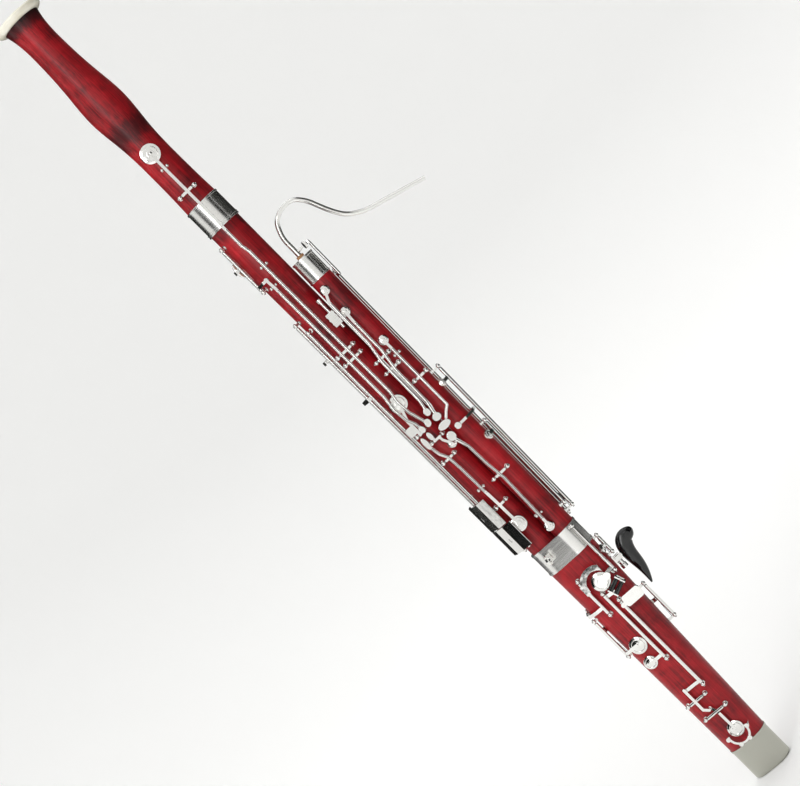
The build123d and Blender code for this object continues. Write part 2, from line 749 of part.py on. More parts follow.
def bocal_cork():
    low = wing_top - 20
    ring = rod((0, low, 0), (0, wing_top + 2, 0), bocal_socket)
    ring += rod((0, wing_top + 0.4, 0), (0, wing_top + 4, 0), 5.2)
    core = bore_between((0, wing_top - 22, 0), (0, wing_top + 16, 0), bocal_base_radius, bocal_radius)
    return thumb_wing * (ring - core)


def bocal_pip():
    y = wing_top + pip_height
    core = bore_between((0, wing_top - 22, 0), (0, wing_top + 16, 0), bocal_base_radius, bocal_radius)
    stem = rod((1, y, 0), (7.5, y, 0), 2.2) + rod((6.5, y, 0), (11, y, 0), 1.5)
    return thumb_wing * (stem - core - rod((0, y, 0), (12, y, 0), 0.6))


# keys on the bell and long joint
def saddle(x, y, low, high, width=bar_width):
    return block((x - width / 2, y - 2.2, low), (x + width / 2, y + 2.2, high))


def swung(shape, hinge, angle):
    start, end = (Vector(*p) for p in hinge)
    return shape.rotate(Axis(tuple(start), tuple(end - start)), angle)


def seat_height(surface):
    return surface + ring_rise + pad_gap


def bell_key():
    x = -2.1
    pad = cup(x, bell_cup_y, seat_height(bell_waist_radius), bell_cup_radius)
    rise = lever_z + 1.0
    front = [(x, bell_hook_y), (x, bell_cup_y)]
    side = [(bell_hook_y - 4, lever_z + 3.6), (bell_hinge_y, rise), (bell_cup_y, rise - 0.8)]
    key = lever(front, side) + saddle(x, bell_hinge_y, crossbar_z, rise)
    key += swung(pad, bell_hinge, bell_open) + hinge_tube(bell_hinge)
    key += ball((x, bell_cup_y, rise - 0.4), 3.0)
    return thumb_long * (key - hinge_bore(bell_hinge))


def low_b_flat_lever():
    top = bell_hook_y + 2
    front = [(-2.6, top), (-2.6, long_top - 34), (-0.5, long_top - 46), (-0.5, base + 275)]
    front += [(-3, base + 260), (-2, base + 240), (1, base + 229), (4.5, b_flat_touch_y)]
    key = level_bar(front, lever_z) + touch(5.4, b_flat_touch_y - 2, lever_z, 9, 11, -20)
    key += saddle(-0.5, b_flat_hinge_y, crossbar_z, lever_z) + hinge_tube(b_flat_hinge)
    return thumb_long * (key - hinge_bore(b_flat_hinge))


def low_b_lever():
    front = [(-11.6, b_lever_top), (-10.4, b_lever_top - 16), (-10.4, base + 275), (-13.2, base + 255)]
    front += [(-11.2, base + 235), (-6.8, base + 224), (-5.4, b_touch_y)]
    key = level_bar(front, lever_z, slim_width) + touch(-5.6, b_touch_y - 2, lever_z, 8, 10, 10)
    key += saddle(-10.4, b_hinge_y, crossbar_z, lever_z, slim_width) + hinge_tube(b_hinge)
    return thumb_long * (key - hinge_bore(b_hinge))


def low_b_key():
    (x, low, z), (_, high, _) = low_b_hinge
    cup_y = long_top - 52
    key = hinge_tube(low_b_hinge)
    hook = [(x, z + 0.6), (-21.5, lever_z - 5), (-16.5, lever_z + 2.6), (-9.5, lever_z + 2.9)]
    key += cross_bar(hook, b_lever_top - 1.5, 4.0)
    seat = seat_height(long_radius(cup_y))
    around = Rot(0, low_b_cup_turn, 0)
    pad = around * cup(0, cup_y, seat, 11.0)
    crown = polar(low_b_cup_turn, seat + cup_depth)
    arm = [(x, z), polar(-78, 29.5), polar(-98, 29), crown]
    closed = pad + cross_bar(arm, cup_y, 5.0)
    key += swung(closed, ((x, low, z), (x, high, z)), low_b_open)
    return thumb_long * (key - hinge_bore(low_b_hinge))


def low_d_key():
    z = d_hinge[0][2]
    seat = seat_height(long_radius(d_cup_y))
    pad = swung(cup(-4.1, d_cup_y, seat, d_cup_radius), d_hinge, d_open)
    front = [(-10.7, d_hinge_y), (-11.5, d_hinge_y + 22), (-4.1, d_cup_y - 3)]
    side = [(d_hinge_y - 1, z + 1.2), (d_hinge_y + 24, z + 1.2), (d_cup_y, seat + cup_depth + 0.8)]
    key = lever(front, side, slim_width, 2.0) + hinge_tube(d_hinge) + pad
    key += plate(-16.6, d_hinge_y + 10, z + 3.4, 11.5, 12.5)
    key += block((-13.4, d_hinge_y - 2, z), (-10.8, d_hinge_y + 7, z + 3.4))
    return thumb_long * (key - hinge_bore(d_hinge))


def low_c_lever():
    y = c_lever_hinge[0][1]
    z = c_lever_hinge[0][2]
    low_end = c_key_hinge[0][1] + 19
    front = [(-14.4, y + 27), (-11.8, y + 12), (-7, y + 2), (-5.6, y - 17), (-4.6, low_end)]
    key = level_bar(front, c_lever_z, slim_width) + touch(-14.6, y + 33, c_lever_z, 7.5, 19)
    key += saddle(-6.6, y, z, c_lever_z, slim_width) + hinge_tube(c_lever_hinge)
    return thumb_long * (key - hinge_bore(c_lever_hinge))


def low_c_key():
    y = c_key_hinge[0][1]
    z = c_key_hinge[0][2]
    seat = seat_height(long_radius(c_cup_y))
    pad = swung(cup(-3.1, c_cup_y, seat, c_cup_radius), c_key_hinge, -c_open)
    hook_z = c_lever_z + bar_thick + 0.5
    front = [(-4.4, y + 22), (-3.8, y), (-3.1, c_cup_y)]
    side = [(y + 23, hook_z), (y + 13, hook_z - 0.3), (y, z + 1.6), (c_cup_y, seat + cup_depth + 4.9)]
    key = lever(front, side, bar_width, 2.4) + hinge_tube(c_key_hinge) + pad
    return thumb_long * (key - hinge_bore(c_key_hinge))


def low_c_sharp_key():
    y = c_sharp_hinge[0][1]
    z = c_sharp_hinge[0][2]
    cup_y = low_c_sharp_cup_y
    seat = seat_height(long_radius(cup_y))
    key = hinge_tube(c_sharp_hinge) + touch(-4.4, y + 8.7, z + 2.2, 7, 12.4)
    key += block((-5.4, y - 1.5, z), (-2.0, y + 6, z + 2.4))
    front = [(2.8, y), (3.6, y - 6), (9.1, cup_y)]
    key += lever(front, [(y, z + 0.8), (cup_y, seat + cup_depth - 0.6)], 3.2, 2.0)
    key += cup(9.1, cup_y, seat, 6.0)
    return thumb_long * (key - hinge_bore(c_sharp_hinge))


def little_key(hinge, turn_out, cup_y, plate_low, plate_high, plate_turn, inner_turn):
    """A long tube with a cup on the finger side and a curved little-finger plate at its foot."""
    x, _, z = hinge[0]
    seat = seat_height(long_radius(cup_y))
    around = Rot(0, -108, 0)
    key = hinge_tube(hinge) + around * cup(0, cup_y, seat, 9.5)
    crown = polar(-108, seat + cup_depth + 0.4)
    key += cross_bar([(x, z), polar(turn_out, 34.5), polar(-84, 34.5), polar(-99, 30.5), crown], cup_y, 5.0)
    key += little_plate(plate_low, plate_high, plate_turn, inner_turn)
    out = degrees(atan2(x, z))
    key += cross_bar([(x, z), polar(out, little_bend)], (plate_low + plate_high) / 2, 6.0)
    return thumb_long * (key - hinge_bore(hinge))


def little_plate(low, high, outer_turn, inner_turn):
    """A plate curved round the joint, for the left little finger."""
    bent = little_bend
    centre = (outer_turn + inner_turn) / 2
    half = abs(outer_turn - inner_turn) / 2
    points = [polar(centre + half * share, bent) for share in (-1, -0.5, 0, 0.5, 1)]
    section = Plane(origin=(0, low, 0), x_dir=(1, 0, 0), z_dir=(0, -1, 0)) * strip(points, 2.0)
    return extrude(section, amount=-(high - low))


def little_e_flat_key():
    return little_key(little_e_hinge, -66, base + 355, base + 57, base + 98, -108, -24)


def little_c_sharp_key():
    return little_key(little_c_hinge, -52, base + 285, base + 16, base + 55.6, -104, -16)


# keys on the wing joint
def high_key(hinge, cup_x, cup_y, run_x, touch_x, touch_y, across, along):
    """A thumb rocker for one of the small high vents."""
    y = hinge[0][1]
    z = hinge[0][2]
    seat = seat_height(wing_high_radius)
    drop = y - touch_y
    front = [(cup_x, cup_y), (run_x[0], cup_y - 14), (run_x[0], y + 25), (run_x[1], y - 4)]
    front += [(run_x[1], y - drop * 0.8), (touch_x, touch_y)]
    side = [(cup_y, seat + cup_depth - 0.4), (cup_y - 16, wing_lever_z), (touch_y - 8, wing_lever_z)]
    key = lever(front, side, slim_width, 2.3) + touch(touch_x, touch_y, wing_lever_z, across, along)
    key += saddle(run_x[1], y - 1, z, wing_lever_z, slim_width) + hinge_tube(hinge)
    key += cup(cup_x, cup_y, seat, 6.2)
    return thumb_wing * (key - hinge_bore(hinge))


def high_c_key():
    return high_key(high_c_hinge, -7.6, high_c_cup_y, (-14.3, -18.9), -22.0, base + 224.5, 9, 11)


def high_a_key():
    return high_key(high_a_hinge, -8.0, high_a_cup_y, (-9.0, -13.2), -17.2, base + 212, 12, 11)


def thumb_c_sharp_key():
    y = thumb_c_hinge[0][1]
    z = thumb_c_hinge[0][2]
    cup_y = base + 325.5
    seat = seat_height(wing_high_radius)
    neck = [(1.5, cup_y), (2.4, base + 214), (-4, base + 209), (-10, base + 203)]
    side = [(cup_y, seat + cup_depth - 0.5), (cup_y - 14, z + 3.4), (base + 190, z + 3.4)]
    key = lever(neck, side, 3.4, 2.2) + cup(1.5, cup_y, seat, 6.4)
    key += touch(-17.5, base + 198, z + 3.4, 18.5, 10.5) + saddle(1.9, y, z, z + 3.4, 3.4)
    key += hinge_tube(thumb_c_hinge)
    return thumb_wing * (key - hinge_bore(thumb_c_hinge))


def wing_low_key():
    y = wing_low_hinge[0][1]
    z = wing_low_hinge[0][2]
    cup_y = base + 15.3
    seat = seat_height(wing_low_radius)
    front = [(-21.0, y + 74), (-14.6, y + 52), (-13.2, y + 20)]
    front += [(-10.2, y - 6), (-10.8, y - 44), (-11.7, cup_y)]
    side = [(y + 80, z + 3.4), (cup_y + 14, z + 3.4), (cup_y, seat + cup_depth - 0.4)]
    key = lever(front, side, slim_width, 2.3) + cup(-11.7, cup_y, seat, 6.4)
    key += touch(-21.0, y + 76, z + 3.4, 12, 13) + saddle(-11.5, y, z, z + 3.4, slim_width)
    key += hinge_tube(wing_low_hinge)
    return thumb_wing * (key - hinge_bore(wing_low_hinge))


def whisper_key():
    (x, _, z), (_, high, _) = whisper_hinge
    pad_y = wing_top + pip_height
    face = 11.3
    turned = Pos(face, pad_y, 0) * Rot(0, 90, 0)
    small_cup = turned * Cylinder(5.2, 3.4, align=(Align.CENTER, Align.CENTER, Align.MIN))
    top = high - post_head - end_gap - 3
    stalk_x = face + 7.4
    stalk = rod((stalk_x, top, 2.0), (stalk_x, pad_y, 2.0), 1.8)
    foot = cross_bar([(x, z), (stalk_x, 2.0)], top, 4.0, 2.6)
    head = cross_bar([(stalk_x, 2.0), (face + 3, 0)], pad_y, 4.0, 2.6)
    closed = small_cup + stalk + foot + head
    key = hinge_tube(whisper_hinge) + swung(closed, whisper_hinge, whisper_open)
    thumb = [(x, z), (23.4, 2), (20, 14), (8, wing_low_radius + 6.4), (-6, wing_low_radius + 7.0)]
    key += cross_bar(thumb, base + 185.5, 3.6, 2.2) + touch(-6, base + 185.5, wing_low_radius + 7.4, 9, 9)
    return thumb_wing * (key - hinge_bore(whisper_hinge))


def trill_key(hinge, cup_turn, cup_y, cup_radius, touch_turn, touch_y):
    """A trill key on the wing joint's right flank, with its touch round the back at the tube's foot."""
    x, _, z = hinge[0]
    seat = seat_height(wing_low_radius)
    crown = polar(cup_turn, seat + cup_depth)
    key = hinge_tube(hinge) + Rot(0, cup_turn, 0) * cup(0, cup_y, seat, cup_radius)
    key += cross_bar([(x, z), crown], cup_y, 4.4)
    key += cross_bar([(x, z), polar(touch_turn, 27)], touch_y, 11.0, 2.2)
    return thumb_wing * (key - hinge_bore(hinge))


def trill_e_flat_key():
    return trill_key(trill_e_hinge, trill_e_cup_turn, trill_e_cup_y, 6.5, 118, base + 48)


def trill_c_sharp_key():
    return trill_key(trill_c_hinge, trill_c_cup_turn, trill_c_cup_y, 7.0, 128, base + 28)


# keys on the boot
def pancake_key():
    x, _, z = pancake_hinge[0]
    y = boot_wood_top - 44
    seat = seat_height(boot_head_radius - 0.4)
    dome = cup(17, y, seat, 12.5) + Pos(17, y, seat + cup_depth - 1.2) * Cylinder(8.2, 2.4)
    arm = level_bar([(17, y), (28, y + 1)], seat + cup_depth - 0.4, 9.0, 2.4)
    arm += cross_bar([(28, seat + cup_depth - 0.4), (x, z)], y + 3.5, 5.0, 2.4)
    closed = dome + arm
    key = hinge_tube(pancake_hinge) + swung(closed, pancake_hinge, pancake_open)
    return thumb_boot * (key - hinge_bore(pancake_hinge))


def thumb_b_flat_key():
    x, _, z = thumb_b_hinge[0]
    y = boot_wood_top - 44
    top_z = z + 3.0
    ring = Pos(17.5, y + 1.5) * (Circle(24.0) - Circle(16.4))
    keep = Pos(12, y + 18) * Rectangle(38, 36)
    crescent = Pos(0, 0, top_z) * extrude(ring & keep, amount=2.6)
    key = hinge_tube(thumb_b_hinge) + crescent
    key += block((x - 2.3, y - 3, z), (x + 3.5, y + 12, top_z + 1.4))
    cup_y = boot_wood_top - 70
    seat = seat_height(boot_radius(cup_y))
    crown_x = boot_core(-99, cup_y) - seat - cup_depth
    run = [(x, z), (-14, z + 0.5), (boot_left + 7.5, z - 3.5), (boot_left, z - 12), (crown_x, 0)]
    key += cross_bar(run, cup_y, 4.6)
    key += Pos(boot_core(-99, cup_y), 0, 0) * Rot(0, -90, 0) * cup(0, cup_y, seat, 7.0)
    return thumb_boot * (key - hinge_bore(thumb_b_hinge))


def f_sharp_key():
    (x, low, z), (_, high, _) = f_sharp_hinge
    key = hinge_tube(f_sharp_hinge)
    key += plate(35.5, high - 7, z + 2.6, 28, 16, 0, 2.6, 4.0)
    key += level_bar([(x, high - 9), (26, high - 8)], z + 1.6, 6.0)
    under = f_link_hinge[0][2] + 0.3
    key += cross_bar([(x, z), (8, under + 0.6), (-6.4, under)], low + 6, 4.4, 2.2)
    return thumb_boot * (key - hinge_bore(f_sharp_hinge))


def f_link_lever():
    y = f_link_hinge[0][1]
    z = f_link_hinge[0][2]
    key = level_bar([(-6.5, y + 21), (-6.5, y - 14), (-1, y - 19)], z + 2.9, bar_width, 2.3)
    key += saddle(-6.5, y, z, z + 2.9) + hinge_tube(f_link_hinge)
    return thumb_boot * (key - hinge_bore(f_link_hinge))


def f_sharp_cup():
    y = f_cup_hinge[0][1]
    z = f_cup_hinge[0][2]
    cup_y = cap_height + 23.3
    seat = seat_height(boot_radius(cup_y))
    front = [(0.5, y + 9), (5.2, y - 2), (5.2, cup_y)]
    side = [(y + 10, z - 0.9), (y + 3, z - 0.2), (y - 3, z + 1.4), (cup_y, seat + cup_depth)]
    key = lever(front, side, bar_width, 2.2) + cup(5.2, cup_y, seat, 10.9)
    key += hinge_tube(f_cup_hinge)
    return thumb_boot * (key - hinge_bore(f_cup_hinge))


def a_flat_key():
    (x, _, z), (_, high, _) = a_flat_hinge
    cup_y = cap_height + 157.6
    seat = seat_height(boot_radius(cup_y))
    key = hinge_tube(a_flat_hinge) + cup(-12.6, cup_y, seat, 9.0)
    key += cross_bar([(x, z), (-4, z + 0.2), (-12.6, seat + cup_depth)], cup_y, 4.4, 2.2)
    key += roller_tray(x, high, z)
    return thumb_boot * (key - hinge_bore(a_flat_hinge))


def roller_tray(x, high, z):
    """A sloping tray in the touch, with an axle for each of two rollers between its cheeks."""
    key = level_bar([(x, high - 6.5), (20, high - 7.5)], z - 2.5, 5.0, 1.8)
    lean = radians(roller_slope)
    rails = []
    for side in (-1, 1):
        along = side * (roller_length / 2 + 1.3)
        rail = []
        for number in range(2):
            middle_x, middle_y = roller_middle(number)
            spot = (middle_x + along * cos(lean), middle_y + along * sin(lean))
            key += Pos(*spot, z + 0.3) * Rot(0, 0, roller_slope) * Box(1.8, 7.0, 7.2)
            rail.append(spot)
        rails.append(rail)
        key += level_bar(rail, z - 2.5, 3.4, 1.6)
    for number in range(2):
        key += roller_axle(number, 1.0, roller_length + 4)
    key += level_bar([(20, high - 7.5), rails[0][1]], z - 2.5, 3.4, 1.8)
    key += level_bar([rails[0][1], rails[1][1]], z - 2.7, 3.0, 1.4)
    return key


def roller_middle(number):
    _, high, _ = a_flat_hinge[1]
    return (28.0 + 2.5 * number, high - 7.2 * number)


def roller_axle(number, radius, length):
    middle_x, middle_y = roller_middle(number)
    _, _, z = a_flat_hinge[0]
    lean = radians(roller_slope)
    half = length / 2
    start = (middle_x - half * cos(lean), middle_y - half * sin(lean), z + roller_rise)
    end = (middle_x + half * cos(lean), middle_y + half * sin(lean), z + roller_rise)
    return rod(start, end, radius)


def roller(number):
    body = roller_axle(number, roller_radius, roller_length)
    return thumb_boot * (body - roller_axle(number, 1.0 + hinge_clearance, roller_length + 2))


def g_sharp_key():
    x, _, z = g_sharp_hinge[0]
    cup_y = cap_height + 184.5
    seat = seat_height(boot_radius(cup_y))
    key = hinge_tube(g_sharp_hinge) + cup(-8.4, cup_y, seat, 11.6)
    key += cross_bar([(x, z), (-25, seat + 3.2), (-8.4, seat + cup_depth)], cup_y + 1.5, 4.6, 2.2)
    return thumb_boot * (key - hinge_bore(g_sharp_hinge) + finger_plate())


def finger_plate():
    """The right little finger's plate, reached round the boot's side from the tube."""
    x, _, z = g_sharp_hinge[0]
    y = cap_height + 222
    corner = (boot_left + 6.5, -4.5 - boot_head_radius)
    arm = cross_bar([(x, z), (boot_left - 3, 2), (boot_left - 1, -14), corner], y, 7.0, 2.2)
    rest = cross_bar([corner, (-8, -6.5 - boot_head_radius)], y, 20.0, 2.2)
    return arm + rest - hinge_bore(g_sharp_hinge)


def low_f_key():
    (x, _, z), (_, high, _) = low_f_hinge
    cup_y = cap_height + 108
    seat = seat_height(boot_radius(cup_y))
    closed = Rot(0, 180, 0) * cup(5.0, cup_y, seat, 13.0)
    crown = -(seat + cup_depth)
    closed += cross_bar([(x, z), (-16, crown - 0.6), (-5, crown)], cup_y, 5.0)
    key = hinge_tube(low_f_hinge) + swung(closed, low_f_hinge, low_f_open)
    key += cross_bar([(x, z), (-14, z - 8), (6, z - 9.5)], high - 18, 22.0, 2.2)
    return thumb_boot * (key - hinge_bore(low_f_hinge))


def g_key():
    x, _, z = g_hinge[0]
    cup_y = cap_height + 204
    seat = seat_height(boot_radius(cup_y))
    closed = Rot(0, 180, 0) * cup(-16.0, cup_y, seat, 12.0)
    crown = -(seat + cup_depth)
    closed += cross_bar([(x, z), (34, crown + 1.0), (16, crown)], cup_y, 5.0)
    key = hinge_tube(g_hinge) + swung(closed, g_hinge, -g_open)
    return thumb_boot * (key - hinge_bore(g_hinge))


def side_trill_key():
    x, low, z = side_hinge[0]
    cup_y = boot_wood_top - 18
    seat = seat_height(boot_radius(cup_y))
    centre = boot_core(99, cup_y)
    pad = Pos(centre, 0, 0) * Rot(0, 82, 0) * cup(0, cup_y, seat, 6.0)
    crown = seat + cup_depth
    out_x, out_z = polar(82, crown)
    key = hinge_tube(side_hinge) + pad + cross_bar([(x, z), (centre + out_x, out_z)], cup_y, 4.0, 2.2)
    key += cross_bar([(x, z), (boot_right + 0.5, -19), (boot_right - 6.5, -26)], low + 9, 8.0, 2.2)
    return thumb_boot * (key - hinge_bore(side_hinge))


# fixed metal parts
def strap_eye():
    """The eye on the boot's ferrule that the neck strap hooks into."""
    y = base - 14
    x = -9.0
    face = boot_head_radius + 0.6
    foot = block((x - 5, y - 6, face), (x + 5, y + 6, face + 2.2))
    lug = Pos(x, y, face + 10.5) * Rot(0, 90, 0) * Cylinder(7.0, 3.2)
    neck = block((x - 1.6, y - 5, face + 1), (x + 1.6, y + 5, face + 8))
    hole = Pos(x, y, face + 10.5) * Rot(0, 90, 0) * Cylinder(strap_hole, 6)
    return thumb_boot * (foot + lug + neck - hole)


def crutch_socket():
    """A clamp on the boot's right side that holds the crutch's post."""
    y = crutch_y
    tube = rod((37.4, y, 0), (49, y, 0), 5.2)
    base_plate = block((33.0, y - 7, -6), (39.4, y + 7, 6))
    boss = rod((43.5, y - 9.5, 0), (43.5, y, 0), 3.6)
    hole = rod((38.0, y, 0), (60, y, 0), crutch_post_radius + hinge_clearance)
    thread = rod((43.5, y - 12, 0), (43.5, y, 0), 1.6 + hinge_clearance)
    return turned_boot * (tube + base_plate + boss - hole - thread) - boot_outside()


def crutch_screw():
    y = crutch_y
    stem = rod((43.5, y - 14, 0), (43.5, y - crutch_post_radius - 0.3, 0), 1.6)
    head = rod((43.5, y - 15.5, 0), (43.5, y - 10.2, 0), 4.6)
    return turned_boot * (stem + head)


def crutch():
    """The black hand rest: a comma with a broad head and a stem that hangs from it."""
    y = crutch_y
    with BuildSketch() as outline:
        with BuildLine():
            Line((50.8, y - 42), (50.0, y + 14))
            ThreePointArc((50.0, y + 14), (51.8, y + 20.5), (57.5, y + 23.5))
            Line((57.5, y + 23.5), (73.5, y + 24))
            ThreePointArc((73.5, y + 24), (82.3, y + 15), (73.5, y + 6.2))
            ThreePointArc((73.5, y + 6.2), (66.4, y + 3.2), (63.6, y - 8))
            Line((63.6, y - 8), (61.0, y - 36))
            ThreePointArc((61.0, y - 36), (57.0, y - 45.5), (50.8, y - 42))
        make_face()
    body = Pos(0, 0, -crutch_thick / 2) * extrude(outline.sketch, amount=crutch_thick)
    body = fillet(body.edges(), 3.4)
    post_rod = rod((39.5, y, 0), (52.5, y, 0), crutch_post_radius)
    return turned_boot * (body + post_rod)


def low_key_guard():
    """The guard over the lowest cup, held by screws through its ears."""
    y = cap_height + 23.3
    z = boot_foot_radius + cup_depth + 9.5
    ring = Pos(5.2, y - 5) * (Circle(15.5) - Circle(12.6))
    lower_half = Pos(5.2, y - 14) * Rectangle(40, 26)
    guard = Pos(0, 0, z - 5) * extrude(ring & lower_half, amount=1.8)
    for x, ear_y in ((-10.4, y - 4), (20.6, y - 4), (-2.0, y - 18.3), (12.4, y - 18.3)):
        guard += rod((x, ear_y, boot_foot_radius - 2.2), (x, ear_y, z - 3.2), 1.9)
        guard += rod((x, ear_y, z - 4.9), (x, ear_y, z - 2.6), 3.0)
    return thumb_boot * guard


def body_lock_housing():
    """A ribbed block on the long joint that holds the body lock's bolt."""
    low = wing_top - 92
    z = lock_z
    housing = block((8.8, low, 13.5), (20.2, low + 20, z + 5.5))
    for number in range(3):
        housing += block((8.2, low + 4 + 6 * number, 14.5), (20.8, low + 6 + 6 * number, z + 6.1))
    housing -= rod((0, low - 5, 0), (0, low + 25, 0), long_radius(low + 20))
    hole = rod((lock_x, low - 2, z), (lock_x, low + 24, z), lock_radius + hinge_clearance)
    return thumb_long * (housing - hole)


def body_lock_bolt():
    low = wing_top - 92
    z = lock_z
    bolt = rod((lock_x, low - 6, z), (lock_x, low + 36, z), lock_radius)
    knob = rod((lock_x, low + 36, z), (lock_x, low + 41, z), 3.6)
    return thumb_long * (bolt + knob)


# nodes
def joined(shapes):
    return Compound(children=[Compound(list(shape.solids())) if len(shape.solids()) > 1 else shape.solids()[0]
                              for shape in shapes])


def rod_group(frame, hinges):
    return [frame * hinge_rod(hinge) for hinge in hinges]


def post_group(frame, hinges, core, radius):
    group = []
    for hinge in hinges:
        start, end = hinge
        kind = elbow_post if start[1] == end[1] else post
        for head in hinge:
            group.append(frame * kind(head, core(head[0], head[1]), radius(head[1])))
    return group


key_makers = {
    "bell_key": bell_key,
    "low_b_flat_lever": low_b_flat_lever,
    "low_b_lever": low_b_lever,
    "low_b_key": low_b_key,
    "low_d_key": low_d_key,
    "low_c_lever": low_c_lever,
    "low_c_key": low_c_key,
    "low_c_sharp_key": low_c_sharp_key,
    "little_e_flat_key": little_e_flat_key,
    "little_c_sharp_key": little_c_sharp_key,
    "high_c_key": high_c_key,
    "high_a_key": high_a_key,
    "thumb_c_sharp_key": thumb_c_sharp_key,
    "wing_low_key": wing_low_key,
    "whisper_key": whisper_key,
    "trill_e_flat_key": trill_e_flat_key,
    "trill_c_sharp_key": trill_c_sharp_key,
    "pancake_key": pancake_key,
    "thumb_b_flat_key": thumb_b_flat_key,
    "f_sharp_key": f_sharp_key,
    "f_link_lever": f_link_lever,
    "f_sharp_cup": f_sharp_cup,
    "a_flat_key": a_flat_key,
    "g_sharp_key": g_sharp_key,
    "low_f_key": low_f_key,
    "g_key": g_key,
    "side_trill_key": side_trill_key,
}

body_makers = {
    "boot": boot,
    "boot_ferrule": boot_ferrule,
    "boot_cap": boot_cap,
    "u_tube": u_tube,
    "u_tube_gasket": u_tube_gasket,
    "long_joint": long_joint,
    "wing_joint": wing_joint,
    "wing_ferrule": wing_ferrule,
    "bell": bell,
    "bell_ferrule": bell_ferrule,
    "bell_ring": bell_ring,
    "bocal": bocal,
    "bocal_cork": bocal_cork,
    "bocal_pip": bocal_pip,
    "strap_eye": strap_eye,
    "crutch_socket": crutch_socket,
    "crutch_screw": crutch_screw,
    "crutch": crutch,
    "low_key_guard": low_key_guard,
    "body_lock_housing": body_lock_housing,
    "body_lock_bolt": body_lock_bolt,
}


def write(name, shape):
    export_step(shape, f"parts/{name}.step")
    print(name, len(shape.solids()))


def main():
    os.makedirs("parts", exist_ok=True)
    for name, maker in {**body_makers, **key_makers}.items():
        write(name, maker())
    write("u_tube_nuts", joined(u_tube_nuts()))
    write("tenon_corks", joined([*long_tenon_corks(), wing_tenon_cork()]))
    write("bore_liners", joined([boot_liner(), wing_liner()]))
    write("tone_hole_rings", joined(rings(long_holes + bell_holes + wing_holes + boot_holes)))
    write("long_rods", joined(rod_group(thumb_long, long_hinges)))
    write("wing_rods", joined(rod_group(thumb_wing, wing_hinges)))
    write("boot_rods", joined(rod_group(thumb_boot, boot_hinges)))
    write("long_posts", joined(post_group(thumb_long, long_hinges, middle, upper_radius)))
    write("wing_posts", joined(post_group(thumb_wing, wing_hinges, middle, wing_radius)))
    write("boot_posts", joined(post_group(thumb_boot, boot_hinges, boot_core, boot_radius)))
    for number in range(2):
        write(f"roller_{number + 1}", roller(number))


if __name__ == "__main__":
    main()
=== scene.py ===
import json
import math

import bmesh
import bpy
from mathutils import Matrix, Vector


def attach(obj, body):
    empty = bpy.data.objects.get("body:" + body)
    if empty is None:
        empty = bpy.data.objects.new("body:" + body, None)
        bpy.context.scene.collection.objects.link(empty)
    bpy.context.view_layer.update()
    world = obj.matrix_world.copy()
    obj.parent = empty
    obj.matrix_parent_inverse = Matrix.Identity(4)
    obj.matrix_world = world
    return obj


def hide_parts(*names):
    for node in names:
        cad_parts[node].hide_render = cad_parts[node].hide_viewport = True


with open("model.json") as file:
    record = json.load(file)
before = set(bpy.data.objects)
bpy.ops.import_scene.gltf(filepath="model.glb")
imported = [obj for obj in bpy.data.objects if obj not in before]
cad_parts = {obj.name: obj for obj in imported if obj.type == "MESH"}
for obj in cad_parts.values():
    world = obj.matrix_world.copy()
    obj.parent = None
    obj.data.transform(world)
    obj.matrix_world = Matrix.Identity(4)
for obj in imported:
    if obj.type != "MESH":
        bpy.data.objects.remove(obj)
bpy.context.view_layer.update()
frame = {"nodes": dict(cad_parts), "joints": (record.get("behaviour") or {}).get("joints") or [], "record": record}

mm = 0.001
joints = {joint["name"]: joint for joint in frame["joints"]}
bodyOfNode = {}
for bodyName, members in frame["record"]["behaviour"]["bodies"].items():
    for member in members:
        bodyOfNode[member] = bodyName

# Places: each joint of the instrument has its own axis, and its keys face the thumbs.
thumbTurn = math.radians(20)
wingLean = math.radians(0.78)
boreX = {"long": -11.0, "wing": 24.5, "boot": 0.0}  # where each bore's axis stands, mm
wingFoot = 405.0  # the wing joint leans from its foot, mm
# across to the right, up the bore, then outwards
facing = Matrix(((1, 0, 0, 0), (0, 0, -1, 0), (0, 1, 0, 0), (0, 0, 0, 1)))


def axisOf(part, turn=0.0):
    # the matrix from a joint's own frame, in mm, to the shared frame, in metres
    place = Matrix.Translation((boreX[part], 0, 0))
    if part == "wing":
        place = place @ Matrix.Translation((0, 0, wingFoot)) @ Matrix.Rotation(wingLean, 4, "Y")
        place = place @ Matrix.Translation((0, 0, -wingFoot))
    if part != "boot":
        place = place @ Matrix.Rotation(thumbTurn, 4, "Z")
    place = place @ Matrix.Rotation(math.radians(turn), 4, "Z")
    return Matrix.Scale(mm, 4) @ place @ facing


def swingBy(jointName, degrees):
    joint = joints[jointName]
    pivot = Vector(joint["pos_m"])
    turn = Matrix.Rotation(math.radians(degrees), 4, Vector(joint["axis"]))
    return Matrix.Translation(pivot) @ turn @ Matrix.Translation(-pivot)


# Materials.
def hexToLinear(code, alpha=1.0):
    channels = [int(code[i:i + 2], 16) / 255 for i in (0, 2, 4)]
    linear = [c / 12.92 if c <= 0.04045 else ((c + 0.055) / 1.055) ** 2.4 for c in channels]
    return (*linear, alpha)


def newMaterial(name):
    material = bpy.data.materials.new(name)
    material.use_nodes = True
    tree = material.node_tree
    shader = tree.nodes["Principled BSDF"]
    return material, tree, shader


def addNode(tree, kind, settings=None, links=None):
    # settings name a property or an input; links give an input the output it reads
    node = tree.nodes.new(kind)
    for key, value in (settings or {}).items():
        if isinstance(key, int) or key in node.inputs:
            node.inputs[key].default_value = value
        else:
            setattr(node, key, value)
    for key, (source, output) in (links or {}).items():
        tree.links.new(source.outputs[output], node.inputs[key])
    return node


